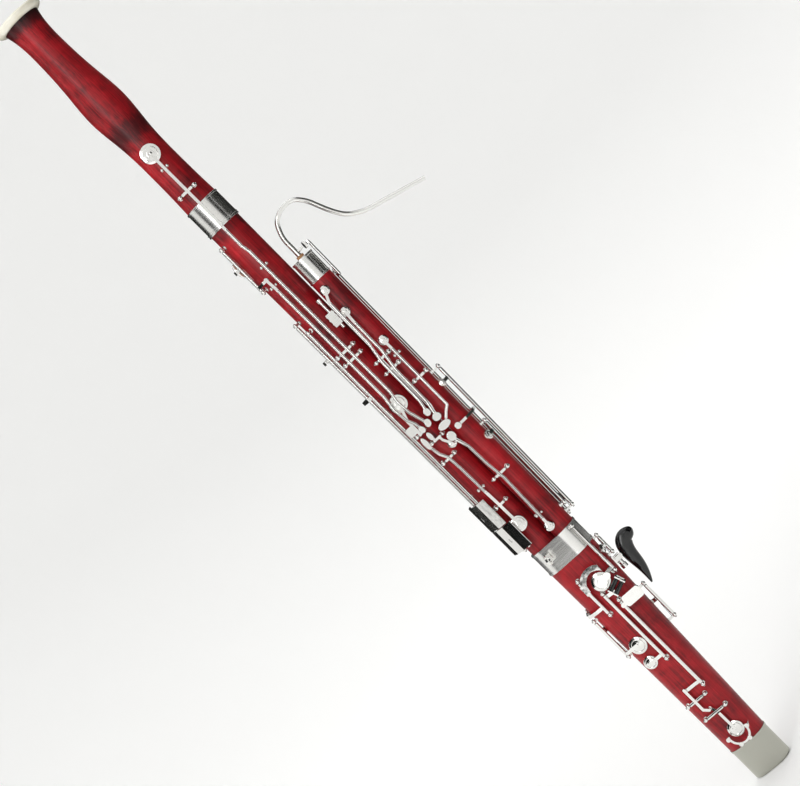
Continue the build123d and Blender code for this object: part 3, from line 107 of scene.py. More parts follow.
def setShader(shader, values):
    for key, value in values.items():
        shader.inputs[key].default_value = value


def colourSteps(tree, source, output, steps):
    ramp = addNode(tree, "ShaderNodeValToRGB", links={"Fac": (source, output)})
    elements = ramp.color_ramp.elements
    elements[0].position, elements[0].color = steps[0][0], hexToLinear(steps[0][1])
    elements[1].position, elements[1].color = steps[-1][0], hexToLinear(steps[-1][1])
    for position, code in steps[1:-1]:
        elements.new(position).color = hexToLinear(code)
    return ramp


mapleFinish = {
    "streakWidth": 1.4,  # mm across the grain
    "streakLength": 45.0,  # mm along it
    "flameSpacing": 11.0,  # mm from one curl to the next
    "mottle": 60.0,  # mm across a cloud of the stain
    "darkStain": "520910",
    "stain": "920F18",
    "brightStain": "B81B24",
    # the darkest tone is painted shade, reached at the middle of the bands below
    "paintedShade": "140204",
    # bands of painted shade round the bell: the deepest just under its ring, two fainter ones lower down
    "paintedShadeBands": [(1.330, 0.030, 0.9), (1.134, 0.030, 0.4), (0.968, 0.030, 0.25)],  # height, half width, depth
}


def lacqueredMaple():
    # Curly maple, stained red under sprayed lacquer, with bands of painted shade round the bell:
    # soft streaks run up the bore below a quiet shine.
    material, tree, shader = newMaterial("lacqueredMaple")
    where = addNode(tree, "ShaderNodeTexCoord")
    onPiece = {"Vector": (where, "Object")}
    across = 1 / (mapleFinish["streakWidth"] * mm)
    along = 1 / (mapleFinish["streakLength"] * mm)
    grain = addNode(tree, "ShaderNodeMapping", {"Scale": (across, across, along)}, onPiece)
    streaks = addNode(tree, "ShaderNodeTexNoise", {"Scale": 1.0, "Detail": 3.0},
                      {"Vector": (grain, "Vector")})
    curl = 1 / (mapleFinish["flameSpacing"] * mm)
    curlPlace = addNode(tree, "ShaderNodeMapping", {"Scale": (curl * 0.6, curl * 0.6, curl)}, onPiece)
    curls = addNode(tree, "ShaderNodeTexNoise", {"Scale": 1.0, "Detail": 2.0, "Distortion": 0.3},
                    {"Vector": (curlPlace, "Vector")})
    cloudSize = 1 / (mapleFinish["mottle"] * mm)
    clouds = addNode(tree, "ShaderNodeTexNoise", {"Scale": cloudSize, "Detail": 2.0}, onPiece)
    figure = addNode(tree, "ShaderNodeMath", {"operation": "MULTIPLY", 1: 0.45}, {0: (streaks, "Fac")})
    figure = addNode(tree, "ShaderNodeMath", {"operation": "MULTIPLY_ADD", 1: 0.2},
                     {0: (curls, "Fac"), 2: (figure, "Value")})
    figure = addNode(tree, "ShaderNodeMath", {"operation": "MULTIPLY_ADD", 1: 0.35},
                     {0: (clouds, "Fac"), 2: (figure, "Value")})
    height = addNode(tree, "ShaderNodeSeparateXYZ", links={"Vector": (where, "Object")})
    # each band of painted shade pulls the figure down towards the painted shade tone
    for middle, half, deep in mapleFinish["paintedShadeBands"]:
        away = addNode(tree, "ShaderNodeMath", {"operation": "SUBTRACT", 1: middle}, {0: (height, "Z")})
        away = addNode(tree, "ShaderNodeMath", {"operation": "ABSOLUTE"}, {0: (away, "Value")})
        fade = {"interpolation_type": "SMOOTHSTEP", "From Min": 0.0, "From Max": half, "To Min": deep,
                "To Max": 0.0}
        paintedShade = addNode(tree, "ShaderNodeMapRange", fade, {"Value": (away, "Value")})
        figure = addNode(tree, "ShaderNodeMath", {"operation": "MULTIPLY_ADD", 1: -0.5},
                         {0: (paintedShade, "Result"), 2: (figure, "Value")})
    stain = colourSteps(tree, figure, "Value", [
        (0.06, mapleFinish["paintedShade"]), (0.36, mapleFinish["darkStain"]), (0.5, mapleFinish["stain"]),
        (0.66, mapleFinish["brightStain"])])
    tree.links.new(stain.outputs["Color"], shader.inputs["Base Color"])
    setShader(shader, {"Roughness": 0.46, "IOR": 1.36, "Coat Weight": 0.16, "Coat Roughness": 0.2,
                       "Coat IOR": 1.4})
    return material


plateFinish = {"ripple": 9.0, "rippleDeep": 0.5}  # mm from one swell to the next, and a swell's height


def nickelPlate(name, code, roughness, waviness):
    # Plated or ground metal, made by hand tools, so its reflections waver a little.
    material, tree, shader = newMaterial(name)
    setShader(shader, {"Base Color": hexToLinear(code), "Metallic": 1.0, "Roughness": roughness})
    where = addNode(tree, "ShaderNodeTexCoord")
    ripple = addNode(tree, "ShaderNodeTexNoise", {"Scale": 1 / (plateFinish["ripple"] * mm), "Detail": 1.0},
                     {"Vector": (where, "Object")})
    bump = addNode(tree, "ShaderNodeBump", {"Strength": waviness, "Distance": plateFinish["rippleDeep"] * mm},
                   {"Height": (ripple, "Fac")})
    tree.links.new(bump.outputs["Normal"], shader.inputs["Normal"])
    return material


tubeFinish = {"line": 0.6, "round": 20}  # mm from one turned line to the next, and patches per metre round it


def brushedNickel():
    # Nickel tube drawn and brushed round its axis: the ferrules keep fine turned lines.
    material, tree, shader = newMaterial("brushedNickelTube")
    setShader(shader, {"Base Color": hexToLinear("EAE9E6"), "Metallic": 1.0, "Roughness": 0.2,
                       "Anisotropic": 0.4})
    where = addNode(tree, "ShaderNodeTexCoord")
    scale = (tubeFinish["round"], tubeFinish["round"], 1 / (tubeFinish["line"] * mm))
    turned = addNode(tree, "ShaderNodeMapping", {"Scale": scale}, {"Vector": (where, "Object")})
    lines = addNode(tree, "ShaderNodeTexNoise", {"Scale": 1.0, "Detail": 2.0},
                    {"Vector": (turned, "Vector")})
    rough = addNode(tree, "ShaderNodeMapRange", {"To Min": 0.14, "To Max": 0.3}, {"Value": (lines, "Fac")})
    tree.links.new(rough.outputs["Result"], shader.inputs["Roughness"])
    return material


def speckled(name, baseCode, fleckCode, fleckSize, roughness, coat):
    # A plain moulded or cut surface with flecks of a second tone.
    material, tree, shader = newMaterial(name)
    where = addNode(tree, "ShaderNodeTexCoord")
    flecks = addNode(tree, "ShaderNodeTexNoise", {"Scale": 1 / (fleckSize * mm), "Detail": 2.0},
                     {"Vector": (where, "Object")})
    tone = colourSteps(tree, flecks, "Fac", [(0.35, baseCode), (0.7, fleckCode)])
    tree.links.new(tone.outputs["Color"], shader.inputs["Base Color"])
    setShader(shader, {"Roughness": roughness, "Coat Weight": coat, "Coat Roughness": 0.08})
    return material


finishes = {
    "maple": lacqueredMaple(),
    # nickel plate buffed on a wheel: a warm silver mirror with a faint ripple
    "nickel": nickelPlate("buffedNickelPlate", "EBEAE7", 0.09, 0.22),
    "tube": brushedNickel(),
    # nickel plate left satin: an even grey sheen
    "satin": nickelPlate("satinNickelCap", "B4B4AA", 0.27, 0.1),
    # steel ground between centres: darker and duller than the keys
    "steel": nickelPlate("groundSteelRod", "A9A8A6", 0.24, 0.05),
    # spring steel tempered blue: a thin dark line
    "blued": nickelPlate("bluedSpringSteel", "3A4152", 0.28, 0.0),
    # a slot in steel, drawn as a small box: painted shade of its hollow, dark and dull
    "slot": nickelPlate("paintedSlotShade", "3B3733", 0.5, 0.0),
    # resin turned and polished: warm off-white under a soft shine
    "ivory": speckled("turnedIvoryResin", "F0ECDD", "E6E0CB", 14.0, 0.22, 0.5),
    # resin moulded and polished: deep black with a clear highlight
    "resin": speckled("polishedBlackResin", "050607", "08090A", 8.0, 0.16, 0.3),
    # hard rubber turned on a lathe: black with a duller shine
    "ebonite": speckled("turnedEbonite", "0C0B0B", "161413", 3.0, 0.24, 0.3),
    # cork cut from sheet and sanded: matt tan with dark pores
    "cork": speckled("cutCork", "B98B62", "7E5634", 1.2, 0.8, 0.0),
    # skin stretched over felt: pale tan and matt
    "pad": speckled("skinCoveredPad", "E3C0A6", "CFA184", 1.5, 0.6, 0.0),
    # hard rubber moulded in the bore: near black and half matt
    "liner": speckled("hardRubberLiner", "141212", "1C1918", 5.0, 0.4, 0.0),
}
print("materials made:", len(finishes))


# Finishing the metalwork, with lengths in mm and angles in degrees.
edgeWork = {"weld": 0.002, "flatWithin": 0.6, "sharpFrom": 32, "ease": 0.24,
            "newCorner": 38, "keptCorner": 50}


def putOn(piece, finish, body):
    piece.data.materials.clear()
    piece.data.materials.append(finishes[finish])
    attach(piece, body)
    return piece


def pieceFrom(bm, name, finish, body, place=None):
    if place is not None:
        bmesh.ops.transform(bm, matrix=place, verts=bm.verts)
    bmesh.ops.recalc_face_normals(bm, faces=bm.faces)
    mesh = bpy.data.meshes.new(name)
    bm.to_mesh(mesh)
    bm.free()
    mesh.shade_smooth()
    mesh.set_sharp_from_angle(angle=math.radians(edgeWork["newCorner"]))
    piece = bpy.data.objects.new(name, mesh)
    bpy.context.scene.collection.objects.link(piece)
    return putOn(piece, finish, body)


def easeEdges(bm, ease):
    sharp = math.radians(edgeWork["sharpFrom"])
    corners = [edge for edge in bm.edges if len(edge.link_faces) == 2 and edge.calc_face_angle() > sharp]
    bmesh.ops.bevel(bm, geom=corners, offset=ease * mm, offset_type="OFFSET", segments=2, affect="EDGES",
                    profile=0.5, material=-1, clamp_overlap=True)


def finishedCopy(nodeName, finish, ease):
    bm = bmesh.new()
    bm.from_mesh(frame["nodes"][nodeName].data)
    bmesh.ops.remove_doubles(bm, verts=bm.verts, dist=edgeWork["weld"] * mm)
    flat = math.radians(edgeWork["flatWithin"])
    bmesh.ops.dissolve_limit(bm, angle_limit=flat, verts=bm.verts, edges=bm.edges)
    easeEdges(bm, ease)
    mesh = bpy.data.meshes.new(nodeName + "_finished")
    bm.to_mesh(mesh)
    bm.free()
    mesh.shade_smooth()
    mesh.set_sharp_from_angle(angle=math.radians(edgeWork["keptCorner"]))
    piece = bpy.data.objects.new(nodeName + "_finished", mesh)
    bpy.context.scene.collection.objects.link(piece)
    putOn(piece, finish, bodyOfNode[nodeName])
    piece.modifiers.new("evenLight", "WEIGHTED_NORMAL").keep_sharp = True
    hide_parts(nodeName)
    return piece


keptFinish = {
    "boot": "maple", "long_joint": "maple", "wing_joint": "maple", "bell": "maple", "bell_ring": "ivory",
    "bore_liners": "liner", "tenon_corks": "cork", "bocal_cork": "cork", "u_tube_gasket": "cork",
    "crutch": "resin", "roller_1": "ebonite", "roller_2": "ebonite",
    "long_rods": "steel", "wing_rods": "steel", "boot_rods": "steel", "u_tube_nuts": "steel",
    "tone_hole_rings": "nickel", "bocal": "nickel", "bocal_pip": "nickel", "u_tube": "nickel",
}
tubeNodes = ("boot_ferrule", "bell_ferrule", "wing_ferrule")
tubeEase = 0.35  # mm off the edges of the cap and ferrules

for nodeName, node in frame["nodes"].items():
    if nodeName in keptFinish:
        for slot in node.material_slots:
            slot.material = finishes[keptFinish[nodeName]]
    elif nodeName == "boot_cap":
        finishedCopy(nodeName, "satin", tubeEase)
    elif nodeName in tubeNodes:
        finishedCopy(nodeName, "tube", tubeEase)
    else:
        finishedCopy(nodeName, "nickel", edgeWork["ease"])
print("metalwork finished")


# The long levers are half round on top: a crown is laid along each flat bar.
# body: part, crown width, height of the bar's top, and the run as (across, height)
crowns = {
    "low_b_flat_lever": ("long", 3.5, 33.25, [(-2.6, 964.0), (-2.6, 936.0), (-0.5, 924.0), (-0.5, 680.0),
                                              (-3.0, 665.0), (-2.0, 645.0), (1.0, 634.0), (3.6, 624.0)]),
    "low_b_lever": ("long", 3.4, 33.25, [(-10.4, 866.0), (-10.4, 680.0), (-13.2, 660.0), (-11.2, 640.0),
                                         (-6.8, 629.0), (-5.8, 622.5)]),
    "low_c_lever": ("long", 3.4, 29.75, [(-14.2, 593.0), (-11.8, 580.5), (-7.0, 570.5), (-5.6, 551.5),
                                         (-4.7, 508.0)]),
    "high_c_key": ("wing", 3.4, 25.35, [(-14.3, 808.0), (-14.3, 741.0), (-18.9, 712.0), (-18.9, 648.0),
                                        (-21.4, 634.0)]),
    "high_a_key": ("wing", 3.4, 25.35, [(-9.0, 771.0), (-9.0, 723.0), (-13.2, 694.0), (-13.2, 641.0),
                                        (-16.4, 623.0)]),
    "thumb_c_sharp_key": ("wing", 3.2, 25.1, [(1.55, 716.0), (2.4, 619.0), (-4.0, 614.0), (-9.0, 609.0)]),
    "wing_low_key": ("wing", 3.4, 25.55, [(-20.4, 580.0), (-14.6, 563.0), (-13.2, 531.0), (-10.2, 505.0),
                                          (-10.8, 467.0), (-11.6, 434.0)]),
}
crownWork = {"high": 1.1, "inset": 0.12, "skirt": 0.6, "faces": 8}  # mm


def bridgeRings(bm, rings, closed):
    # faces from each ring of points to the next, and from the last back to the first in a closed loop
    pairs = list(zip(rings, rings[1:]))
    if closed:
        pairs.append((rings[-1], rings[0]))
    for first, second in pairs:
        for number in range(len(first)):
            following = (number + 1) % len(first)
            bm.faces.new((first[number], first[following], second[following], second[number]))


def crownedBar(bm, points, width, top):
    # rings of a half round section along the run, mitred at each bend
    half = width / 2 - crownWork["inset"]
    line = [Vector((x, y, 0)) for x, y in points]
    rings = []
    for number, point in enumerate(line):
        before = (point - line[number - 1]).normalized() if number else None
        after = (line[number + 1] - point).normalized() if number + 1 < len(line) else None
        way = ((before or after) + (after or before)).normalized()
        side = Vector((way.y, -way.x, 0)) / max(0.5, way.dot(before or after))
        ring = []
        for step in range(crownWork["faces"] + 1):
            angle = math.pi * step / crownWork["faces"]
            lift = crownWork["high"] * math.sin(angle)
            ring.append(bm.verts.new(point + side * half * math.cos(angle) + Vector((0, 0, top + lift))))
        skirt = Vector((0, 0, top - crownWork["skirt"]))
        ring.append(bm.verts.new(point - side * half + skirt))
        ring.append(bm.verts.new(point + side * half + skirt))
        rings.append(ring)
    bridgeRings(bm, rings, False)
    bm.faces.new(rings[0])
    bm.faces.new(list(reversed(rings[-1])))


for body, (part, width, top, points) in crowns.items():
    crown = bmesh.new()
    crownedBar(crown, points, width, top)
    pieceFrom(crown, body + "_crown", "nickel", body, axisOf(part))
print("lever crowns made:", len(crowns))


# Pads.
def cylinder(radius, low, high, faces=48, topRadius=None):
    bm = bmesh.new()
    top = radius if topRadius is None else topRadius
    bmesh.ops.create_cone(bm, cap_ends=True, segments=faces, radius1=radius, radius2=top, depth=high - low)
    bmesh.ops.translate(bm, verts=bm.verts, vec=(0, 0, (low + high) / 2))
    return bm


padWork = {"proud": 0.2, "thick": 1.0, "rim": 0.25, "ease": 0.15}  # mm
cups = {  # body: joint, turn round it, across, height, face height, radius, how far it stands open
    "bell_key": ("long", 0, -2.1, 1095.0, 22.9, 12.8, 4.87),
    "low_b_key": ("long", -112, 0, 918.0, 23.36, 11.0, 12.9),
    "low_d_key": ("long", 0, -4.1, 661.0, 21.57, 11.8, 2.9),
    "low_c_key": ("long", 0, -3.1, 448.8, 20.1, 10.3, -8.1),
    "low_c_sharp_key": ("long", 0, 9.1, 579.0, 21.0, 6.0, 0),
    "little_e_flat_key": ("long", -108, 0, 760.0, 22.25, 9.5, 0),
    "little_c_sharp_key": ("long", -108, 0, 690.0, 21.77, 9.5, 0),
    "high_c_key": ("wing", 0, -7.6, 825.0, 16.1, 6.2, 0),
    "high_a_key": ("wing", 0, -8.0, 788.5, 16.1, 6.2, 0),
    "thumb_c_sharp_key": ("wing", 0, 1.5, 730.5, 16.1, 6.4, 0),
    "wing_low_key": ("wing", 0, -11.7, 420.3, 16.9, 6.4, 0),
    "trill_e_flat_key": ("wing", 48, 0, 555.0, 16.9, 6.5, 0),
    "trill_c_sharp_key": ("wing", 78, 0, 641.0, 16.9, 7.0, 0),
    "pancake_key": ("boot", 0, 17.0, 326.0, 22.5, 12.5, 8.0),
    "f_sharp_cup": ("boot", 0, 5.2, 72.3, 20.12, 10.9, 0),
    "a_flat_key": ("boot", 0, -12.6, 206.6, 21.37, 9.0, 0),
    "g_sharp_key": ("boot", 0, -8.4, 233.5, 21.62, 11.6, 0),
    "low_f_key": ("boot", 180, 5.0, 157.0, 20.9, 13.0, 8.0),
    "g_key": ("boot", 180, -16.0, 253.0, 21.8, 12.0, -8.0),
}


def cupPlace(body, part, turn, across, height, face, swing):
    place = axisOf(part, turn) @ Matrix.Translation((across, height, face))
    if swing:
        place = swingBy(body + "_hinge", swing) @ place
    return place


for body, (part, turn, across, height, face, radius, swing) in cups.items():
    place = cupPlace(body, part, turn, across, height, face, swing)
    pad = cylinder(radius - padWork["rim"], -padWork["proud"], padWork["thick"])
    easePad = [edge for edge in pad.edges if edge.calc_face_angle() > 1.0]
    bmesh.ops.bevel(pad, geom=easePad, offset=padWork["ease"], offset_type="OFFSET", segments=2,
                    affect="EDGES", profile=0.5, material=-1, clamp_overlap=True)
    pieceFrom(pad, body + "_pad", "pad", body, place)
print("pads made:", len(cups))


# Each cup has a bead round its crown and a low dome in its middle; bead and dome are shares of its radius.
cupWork = {"bead": 0.72, "beadThick": 0.6, "beadSteps": 72, "beadFaces": 10, "dome": 0.4, "domeHigh": 0.55,
           "domeSunk": 0.1, "crown": 3.6, "crownAtBead": 0.88}


def addBead(bm, radius, height):
    rings = []
    for step in range(cupWork["beadSteps"]):
        turned = math.tau * step / cupWork["beadSteps"]
        ring = []
        for number in range(cupWork["beadFaces"]):
            angle = math.tau * number / cupWork["beadFaces"]
            out = radius + cupWork["beadThick"] * math.cos(angle)
            up = height + cupWork["beadThick"] * math.sin(angle)
            ring.append(bm.verts.new((out * math.cos(turned), out * math.sin(turned), up)))
        rings.append(ring)
    bridgeRings(bm, rings, True)


def addDome(bm, radius):
    dome = bmesh.ops.create_uvsphere(bm, u_segments=40, v_segments=16, radius=1.0)
    lift = Matrix.Translation((0, 0, cupWork["crown"] - cupWork["domeSunk"]))
    flatten = Matrix.Diagonal((radius, radius, cupWork["domeHigh"], 1))
    bmesh.ops.transform(bm, verts=dome["verts"], matrix=lift @ flatten)


for body, (part, turn, across, height, face, radius, swing) in cups.items():
    spun = bmesh.new()
    addBead(spun, radius * cupWork["bead"], cupWork["crown"] * cupWork["crownAtBead"])
    addDome(spun, radius * cupWork["dome"])
    place = cupPlace(body, part, turn, across, height, face, swing)
    pieceFrom(spun, body + "_cup_bead", "nickel", body, place)
print("cup beads made:", len(cups))


# The slots in the ends of the hinge rods, as small boxes coloured with painted shade.
rodNodes = ("long_rods", "wing_rods", "boot_rods")
rodPoints = [vertex.co.copy() for nodeName in rodNodes for vertex in frame["nodes"][nodeName].data.vertices]
slotWork = {"wide": 0.5, "deep": 0.25, "long": 2.2, "near": 1.5, "alongRod": 300}  # mm


def rodEnds(joint):
    pivot = Vector(joint["pos_m"])
    way = Vector(joint["axis"]).normalized()
    near = slotWork["near"] * mm
    spots = []
    for point in rodPoints:
        along = (point - pivot).dot(way)
        if abs(along) < slotWork["alongRod"] * mm and (point - pivot - way * along).length < near:
            spots.append(along)
    return pivot, way, min(spots), max(spots)


springWork = {"radius": 0.38, "taper": 0.6, "from": 3.5, "reach": 26.0, "inward": 3.4, "tipInward": 2.6}  # mm
wingSide = 8.0  # mm across: hinges beyond it stand on the wing joint


def addSlot(bm, spot, way, outward):
    sideways = Vector((1, 0, 0)) if abs(way.z) > 0.5 else Vector((0, 0, 1))
    turn = Matrix((sideways.cross(outward).normalized(), sideways, outward)).transposed().to_4x4()
    size = Matrix.Diagonal((slotWork["wide"] * mm, slotWork["long"] * mm, slotWork["deep"] * mm, 1))
    cut = bmesh.ops.create_cube(bm, size=1.0)
    bmesh.ops.transform(bm, matrix=Matrix.Translation(spot) @ turn @ size, verts=cut["verts"])


def addSpring(bm, pivot, way, low):
    # a needle spring runs from the lower post to the tube
    centre = Vector((boreX["boot"] * mm, 0, low.z))
    if pivot.z > wingFoot * mm:
        centre.x = (boreX["long"] if pivot.x < wingSide * mm else boreX["wing"]) * mm
    inward = (centre - low).normalized()
    start = low + inward * springWork["inward"] * mm + way * springWork["from"] * mm
    end = low + inward * springWork["tipInward"] * mm + way * springWork["reach"] * mm
    run = end - start
    thick = springWork["radius"] * mm
    wire = bmesh.ops.create_cone(bm, cap_ends=True, segments=8, radius1=thick,
                                 radius2=thick * springWork["taper"], depth=run.length)
    turn = run.to_track_quat("Z", "Y").to_matrix().to_4x4()
    bmesh.ops.transform(bm, matrix=Matrix.Translation((start + end) / 2) @ turn, verts=wire["verts"])


slots = bmesh.new()
springs = bmesh.new()
for name in [name for name in joints if name.endswith("_hinge")]:
    pivot, way, first, last = rodEnds(joints[name])
    addSlot(slots, pivot + way * first, way, -way)
    addSlot(slots, pivot + way * last, way, way)
    if abs(way.z) > 0.5:  # a hinge that runs up the bore
        addSpring(springs, pivot, way, pivot + way * first)
# the slot boxes carry painted shade in place of a hollow
pieceFrom(slots, "rod_end_slots", "slot", "root")
pieceFrom(springs, "needle_springs", "blued", "root")
print("slots and springs made")


# Lever guides: pairs of ball-headed pins on both sides of a long lever.
guides = {  # part, middle across, height, half gap, ball height, surface height
    "bell": ("long", -2.1, 1071.0, 4.3, 30.0, 22.0),
    "lowBFlat": ("long", -0.5, 900.0, 4.3, 32.0, 22.3),
    "lowB": ("long", -10.4, 873.0, 4.0, 32.0, 20.0),
    "lowC": ("long", -5.2, 513.5, 4.2, 28.5, 19.4),
    "thumbC": ("wing", 1.9, 707.0, 3.8, 24.0, 15.3),
    "wingLow": ("wing", -10.8, 441.0, 4.0, 24.4, 12.0),
}


pinWork = {"foot": 1.15, "neck": 0.95, "sunk": 2, "collar": 2.3, "collarTop": 1.9, "collarThick": 1.2,
           "collarLift": 0.3, "head": 1.75}  # mm


def guidePin(bm, across, height, top, foot):
    stem = bmesh.ops.create_cone(bm, cap_ends=True, segments=20, radius1=pinWork["foot"],
                                 radius2=pinWork["neck"], depth=top - foot + pinWork["sunk"])
    bmesh.ops.translate(bm, verts=stem["verts"], vec=(across, height, (top + foot - pinWork["sunk"]) / 2))
    collar = bmesh.ops.create_cone(bm, cap_ends=True, segments=24, radius1=pinWork["collar"],
                                   radius2=pinWork["collarTop"], depth=pinWork["collarThick"])
    bmesh.ops.translate(bm, verts=collar["verts"], vec=(across, height, foot + pinWork["collarLift"]))
    head = bmesh.ops.create_uvsphere(bm, u_segments=20, v_segments=14, radius=pinWork["head"])
    bmesh.ops.translate(bm, verts=head["verts"], vec=(across, height, top))


for name, (part, middle, height, gap, top, foot) in guides.items():
    pins = bmesh.new()
    for side in (-1, 1):
        guidePin(pins, middle + side * gap, height, top, foot)
    pieceFrom(pins, name + "_lever_guide", "nickel", "root", axisOf(part))
print("lever guides made:", len(guides))


# The hand rest is a smooth comma: rings along its curve, each as its distance across and above the post,
# half width and half thickness, in mm. Both ends close over a smaller ring to a tip.
crutchCurve = [
    (75.5, 12.6, 9.0, 7.3), (71.0, 13.8, 10.4, 7.5), (66.0, 12.0, 11.6, 7.5), (62.0, 6.4, 11.4, 7.5),
    (59.8, -1.5, 10.2, 7.4), (59.0, -10.0, 9.2, 7.2), (59.0, -19.0, 8.2, 6.8), (58.6, -28.0, 6.8, 6.0),
    (57.4, -36.5, 5.2, 4.8), (55.7, -44.5, 3.4, 3.4), (53.6, -51.5, 1.5, 1.8)]
restWork = {"height": 327.0, "faces": 28, "upperTip": (8.0, -0.4, 0), "lowerTip": (-0.5, -1.6, 0),
            "shrink": 0.72, "towardsTip": 0.68, "postRadius": 3.0, "postFrom": 39.5, "postTo": 60.0}
restPlace = Matrix.Scale(mm, 4) @ Matrix.Rotation(thumbTurn, 4, "Z") @ facing


def closeEnd(bm, ring, beyond):
    middles = []
    centre = sum((vert.co for vert in ring), Vector()) / len(ring)
    for vert in ring:
        inner = centre.lerp(vert.co, restWork["shrink"])
        middles.append(bm.verts.new(inner + (beyond - centre) * restWork["towardsTip"]))
    tip = bm.verts.new(beyond)
    for step in range(len(ring)):
        following = (step + 1) % len(ring)
        bm.faces.new((ring[step], ring[following], middles[following], middles[step]))
        bm.faces.new((middles[step], middles[following], tip))


def commaRest():
    bm = bmesh.new()
    line = [Vector((x, restWork["height"] + y, 0)) for x, y, _, _ in crutchCurve]
    rings = []
    for number, point in enumerate(line):
        before = line[max(0, number - 1)]
        after = line[min(len(line) - 1, number + 1)]
        way = (after - before).normalized()
        side = Vector((way.y, -way.x, 0))
        wide, thick = crutchCurve[number][2:]
        ring = []
        for step in range(restWork["faces"]):
            angle = math.tau * step / restWork["faces"]
            ring.append(bm.verts.new(point + side * wide * math.cos(angle)
                                     + Vector((0, 0, thick * math.sin(angle)))))
        rings.append(ring)
    bridgeRings(bm, rings, False)
    closeEnd(bm, rings[0], line[0] + Vector(restWork["upperTip"]))
    closeEnd(bm, rings[-1], line[-1] + Vector(restWork["lowerTip"]))
    piece = pieceFrom(bm, "comma_rest", "resin", "crutch", restPlace)
    piece.modifiers.new("smooth", "SUBSURF").render_levels = 2
    return piece


rest = commaRest()
post = cylinder(restWork["postRadius"], restWork["postFrom"], restWork["postTo"], 40)
lying = Matrix.Rotation(math.radians(90), 4, "Y")
postPlace = restPlace @ Matrix.Translation((0, restWork["height"], 0)) @ lying
pieceFrom(post, "rest_post", "nickel", "crutch", postPlace)
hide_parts("crutch")
print("hand rest made")


# Floor, backdrop and lights.
room = {"floorRadius": 5.2, "curve": 2.4, "curveSteps": 12, "wallTop": 6.0, "around": 96,
        "tone": "FAFAF9"}  # metres


def makeRoom():
    bm = bmesh.new()
    flatRadius = room["floorRadius"] - room["curve"]
    points = [Vector((0, 0, 0)), Vector((flatRadius, 0, 0))]
    for step in range(1, room["curveSteps"] + 1):
        angle = math.radians(90) * step / room["curveSteps"]
        points.append(Vector((flatRadius + room["curve"] * math.sin(angle), 0,
                              room["curve"] * (1 - math.cos(angle)))))
    points.append(Vector((room["floorRadius"], 0, room["wallTop"])))
    line = [bm.verts.new(point) for point in points]
    edges = [bm.edges.new(pair) for pair in zip(line, line[1:])]
    bmesh.ops.spin(bm, geom=line + edges, cent=(0, 0, 0), axis=(0, 0, 1), angle=math.radians(360),
                   steps=room["around"], use_merge=True)
    bmesh.ops.remove_doubles(bm, verts=bm.verts, dist=mm)
    bmesh.ops.recalc_face_normals(bm, faces=bm.faces)
    bmesh.ops.reverse_faces(bm, faces=bm.faces)
    mesh = bpy.data.meshes.new("paper_sweep")
    bm.to_mesh(mesh)
    bm.free()
    mesh.shade_smooth()
    sweep = bpy.data.objects.new("paper_sweep", mesh)
    bpy.context.scene.collection.objects.link(sweep)
    paper, _, shader = newMaterial("mattePaper")
    setShader(shader, {"Base Color": hexToLinear(room["tone"]), "Roughness": 0.9, "Specular IOR Level": 0.1})
    mesh.materials.append(paper)


makeRoom()

camera = {"azimuth": 20, "distance": 2.75, "height": 0.815, "aimHeight": 0.668, "aimAcross": -0.0032,
          "lens": 99.0, "roll": 45}
azimuth = math.radians(camera["azimuth"])
rightWay = Vector((math.cos(azimuth), math.sin(azimuth), 0))
backWay = Vector((math.sin(azimuth), -math.cos(azimuth), 0))

lights = {  # across, towards the camera, height, width, tall, power
    "keySoftbox": (-1.15, 2.1, 1.5, 0.9, 2.2, 22),
    "floorWash": (0.4, -2.6, 2.8, 2.4, 2.0, 30),
}
for name, (across, towards, height, width, tall, power) in lights.items():
    lamp = bpy.data.lights.new(name, "AREA")
    lamp.shape = "RECTANGLE"
    lamp.size, lamp.size_y, lamp.energy = width, tall, power
    holder = bpy.data.objects.new(name, lamp)
    holder.location = rightWay * across + backWay * towards + Vector((0, 0, height))
    aim = Vector((0, 0, 0.65)) - holder.location
    holder.rotation_euler = aim.to_track_quat("-Z", "Y").to_euler()
    holder.visible_camera = False
    bpy.context.scene.collection.objects.link(holder)

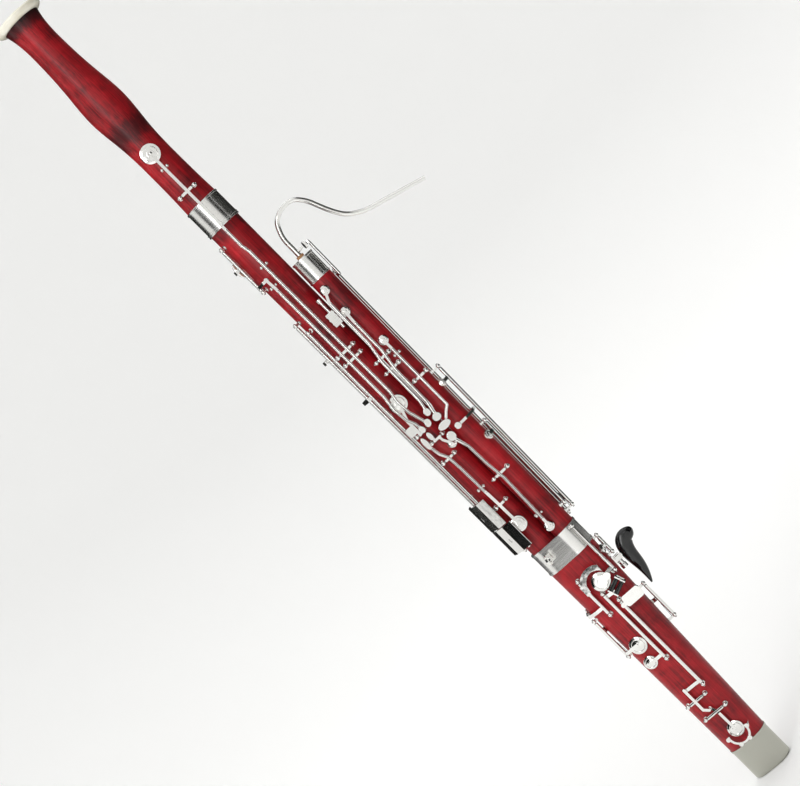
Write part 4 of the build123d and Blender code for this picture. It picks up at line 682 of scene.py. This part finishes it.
# Dark boards: from and to, in degrees round from the camera to the right, distance and top in metres,
# tone, and whether the board dims the light.
flags = {
    "sideFlag": (36, 62, 1.9, 3.0, "050505", True),
    "leftFlag": (292, 330, 1.9, 3.0, "161616", False),
    "shadeFlag": (66, 112, 2.0, 3.0, "3A3A38", True),
    "backFlag": (112, 252, 2.1, 3.0, "2A2A29", False),
}
flagFoot = 0.01  # metres above the floor


def flag(name, first, last, away, top, tone, dims):
    # a curved board that only shapes the reflections and the shade
    bm = bmesh.new()
    line = [bm.verts.new(backWay * away + Vector((0, 0, height))) for height in (flagFoot, top)]
    edge = bm.edges.new(line)
    bmesh.ops.rotate(bm, verts=bm.verts, cent=(0, 0, 0), matrix=Matrix.Rotation(math.radians(first), 3, "Z"))
    bmesh.ops.spin(bm, geom=line + [edge], cent=(0, 0, 0), axis=(0, 0, 1), angle=math.radians(last - first),
                   steps=24)
    mesh = bpy.data.meshes.new(name)
    bm.to_mesh(mesh)
    bm.free()
    board = bpy.data.objects.new(name, mesh)
    bpy.context.scene.collection.objects.link(board)
    cloth, _, shader = newMaterial(name + "Cloth")
    setShader(shader, {"Base Color": hexToLinear(tone), "Roughness": 1.0, "Specular IOR Level": 0.0})
    mesh.materials.append(cloth)
    board.visible_camera = False
    board.visible_shadow = False
    board.visible_diffuse = dims


for name, settings in flags.items():
    flag(name, *settings)

world = bpy.data.worlds.new("studio")
bpy.context.scene.world = world
world.use_nodes = True
world.node_tree.nodes["Background"].inputs["Color"].default_value = hexToLinear("FFFFFF")
world.node_tree.nodes["Background"].inputs["Strength"].default_value = 1.0

lens = bpy.data.cameras.new("camera")
lens.lens = camera["lens"]
lens.sensor_width = 36
lens.clip_start, lens.clip_end = 0.05, 60
eye = bpy.data.objects.new("camera", lens)
bpy.context.scene.collection.objects.link(eye)
eye.location = backWay * camera["distance"] + Vector((0, 0, camera["height"]))
target = rightWay * camera["aimAcross"] + Vector((0, 0, camera["aimHeight"]))
look = (target - eye.location).to_track_quat("-Z", "Y").to_matrix().to_4x4()
roll = Matrix.Rotation(math.radians(-camera["roll"]), 4, "Z")
eye.matrix_world = Matrix.Translation(eye.location) @ look @ roll
bpy.context.scene.camera = eye
bpy.context.scene.view_settings.view_transform = "Standard"
print("room, lights and camera set")
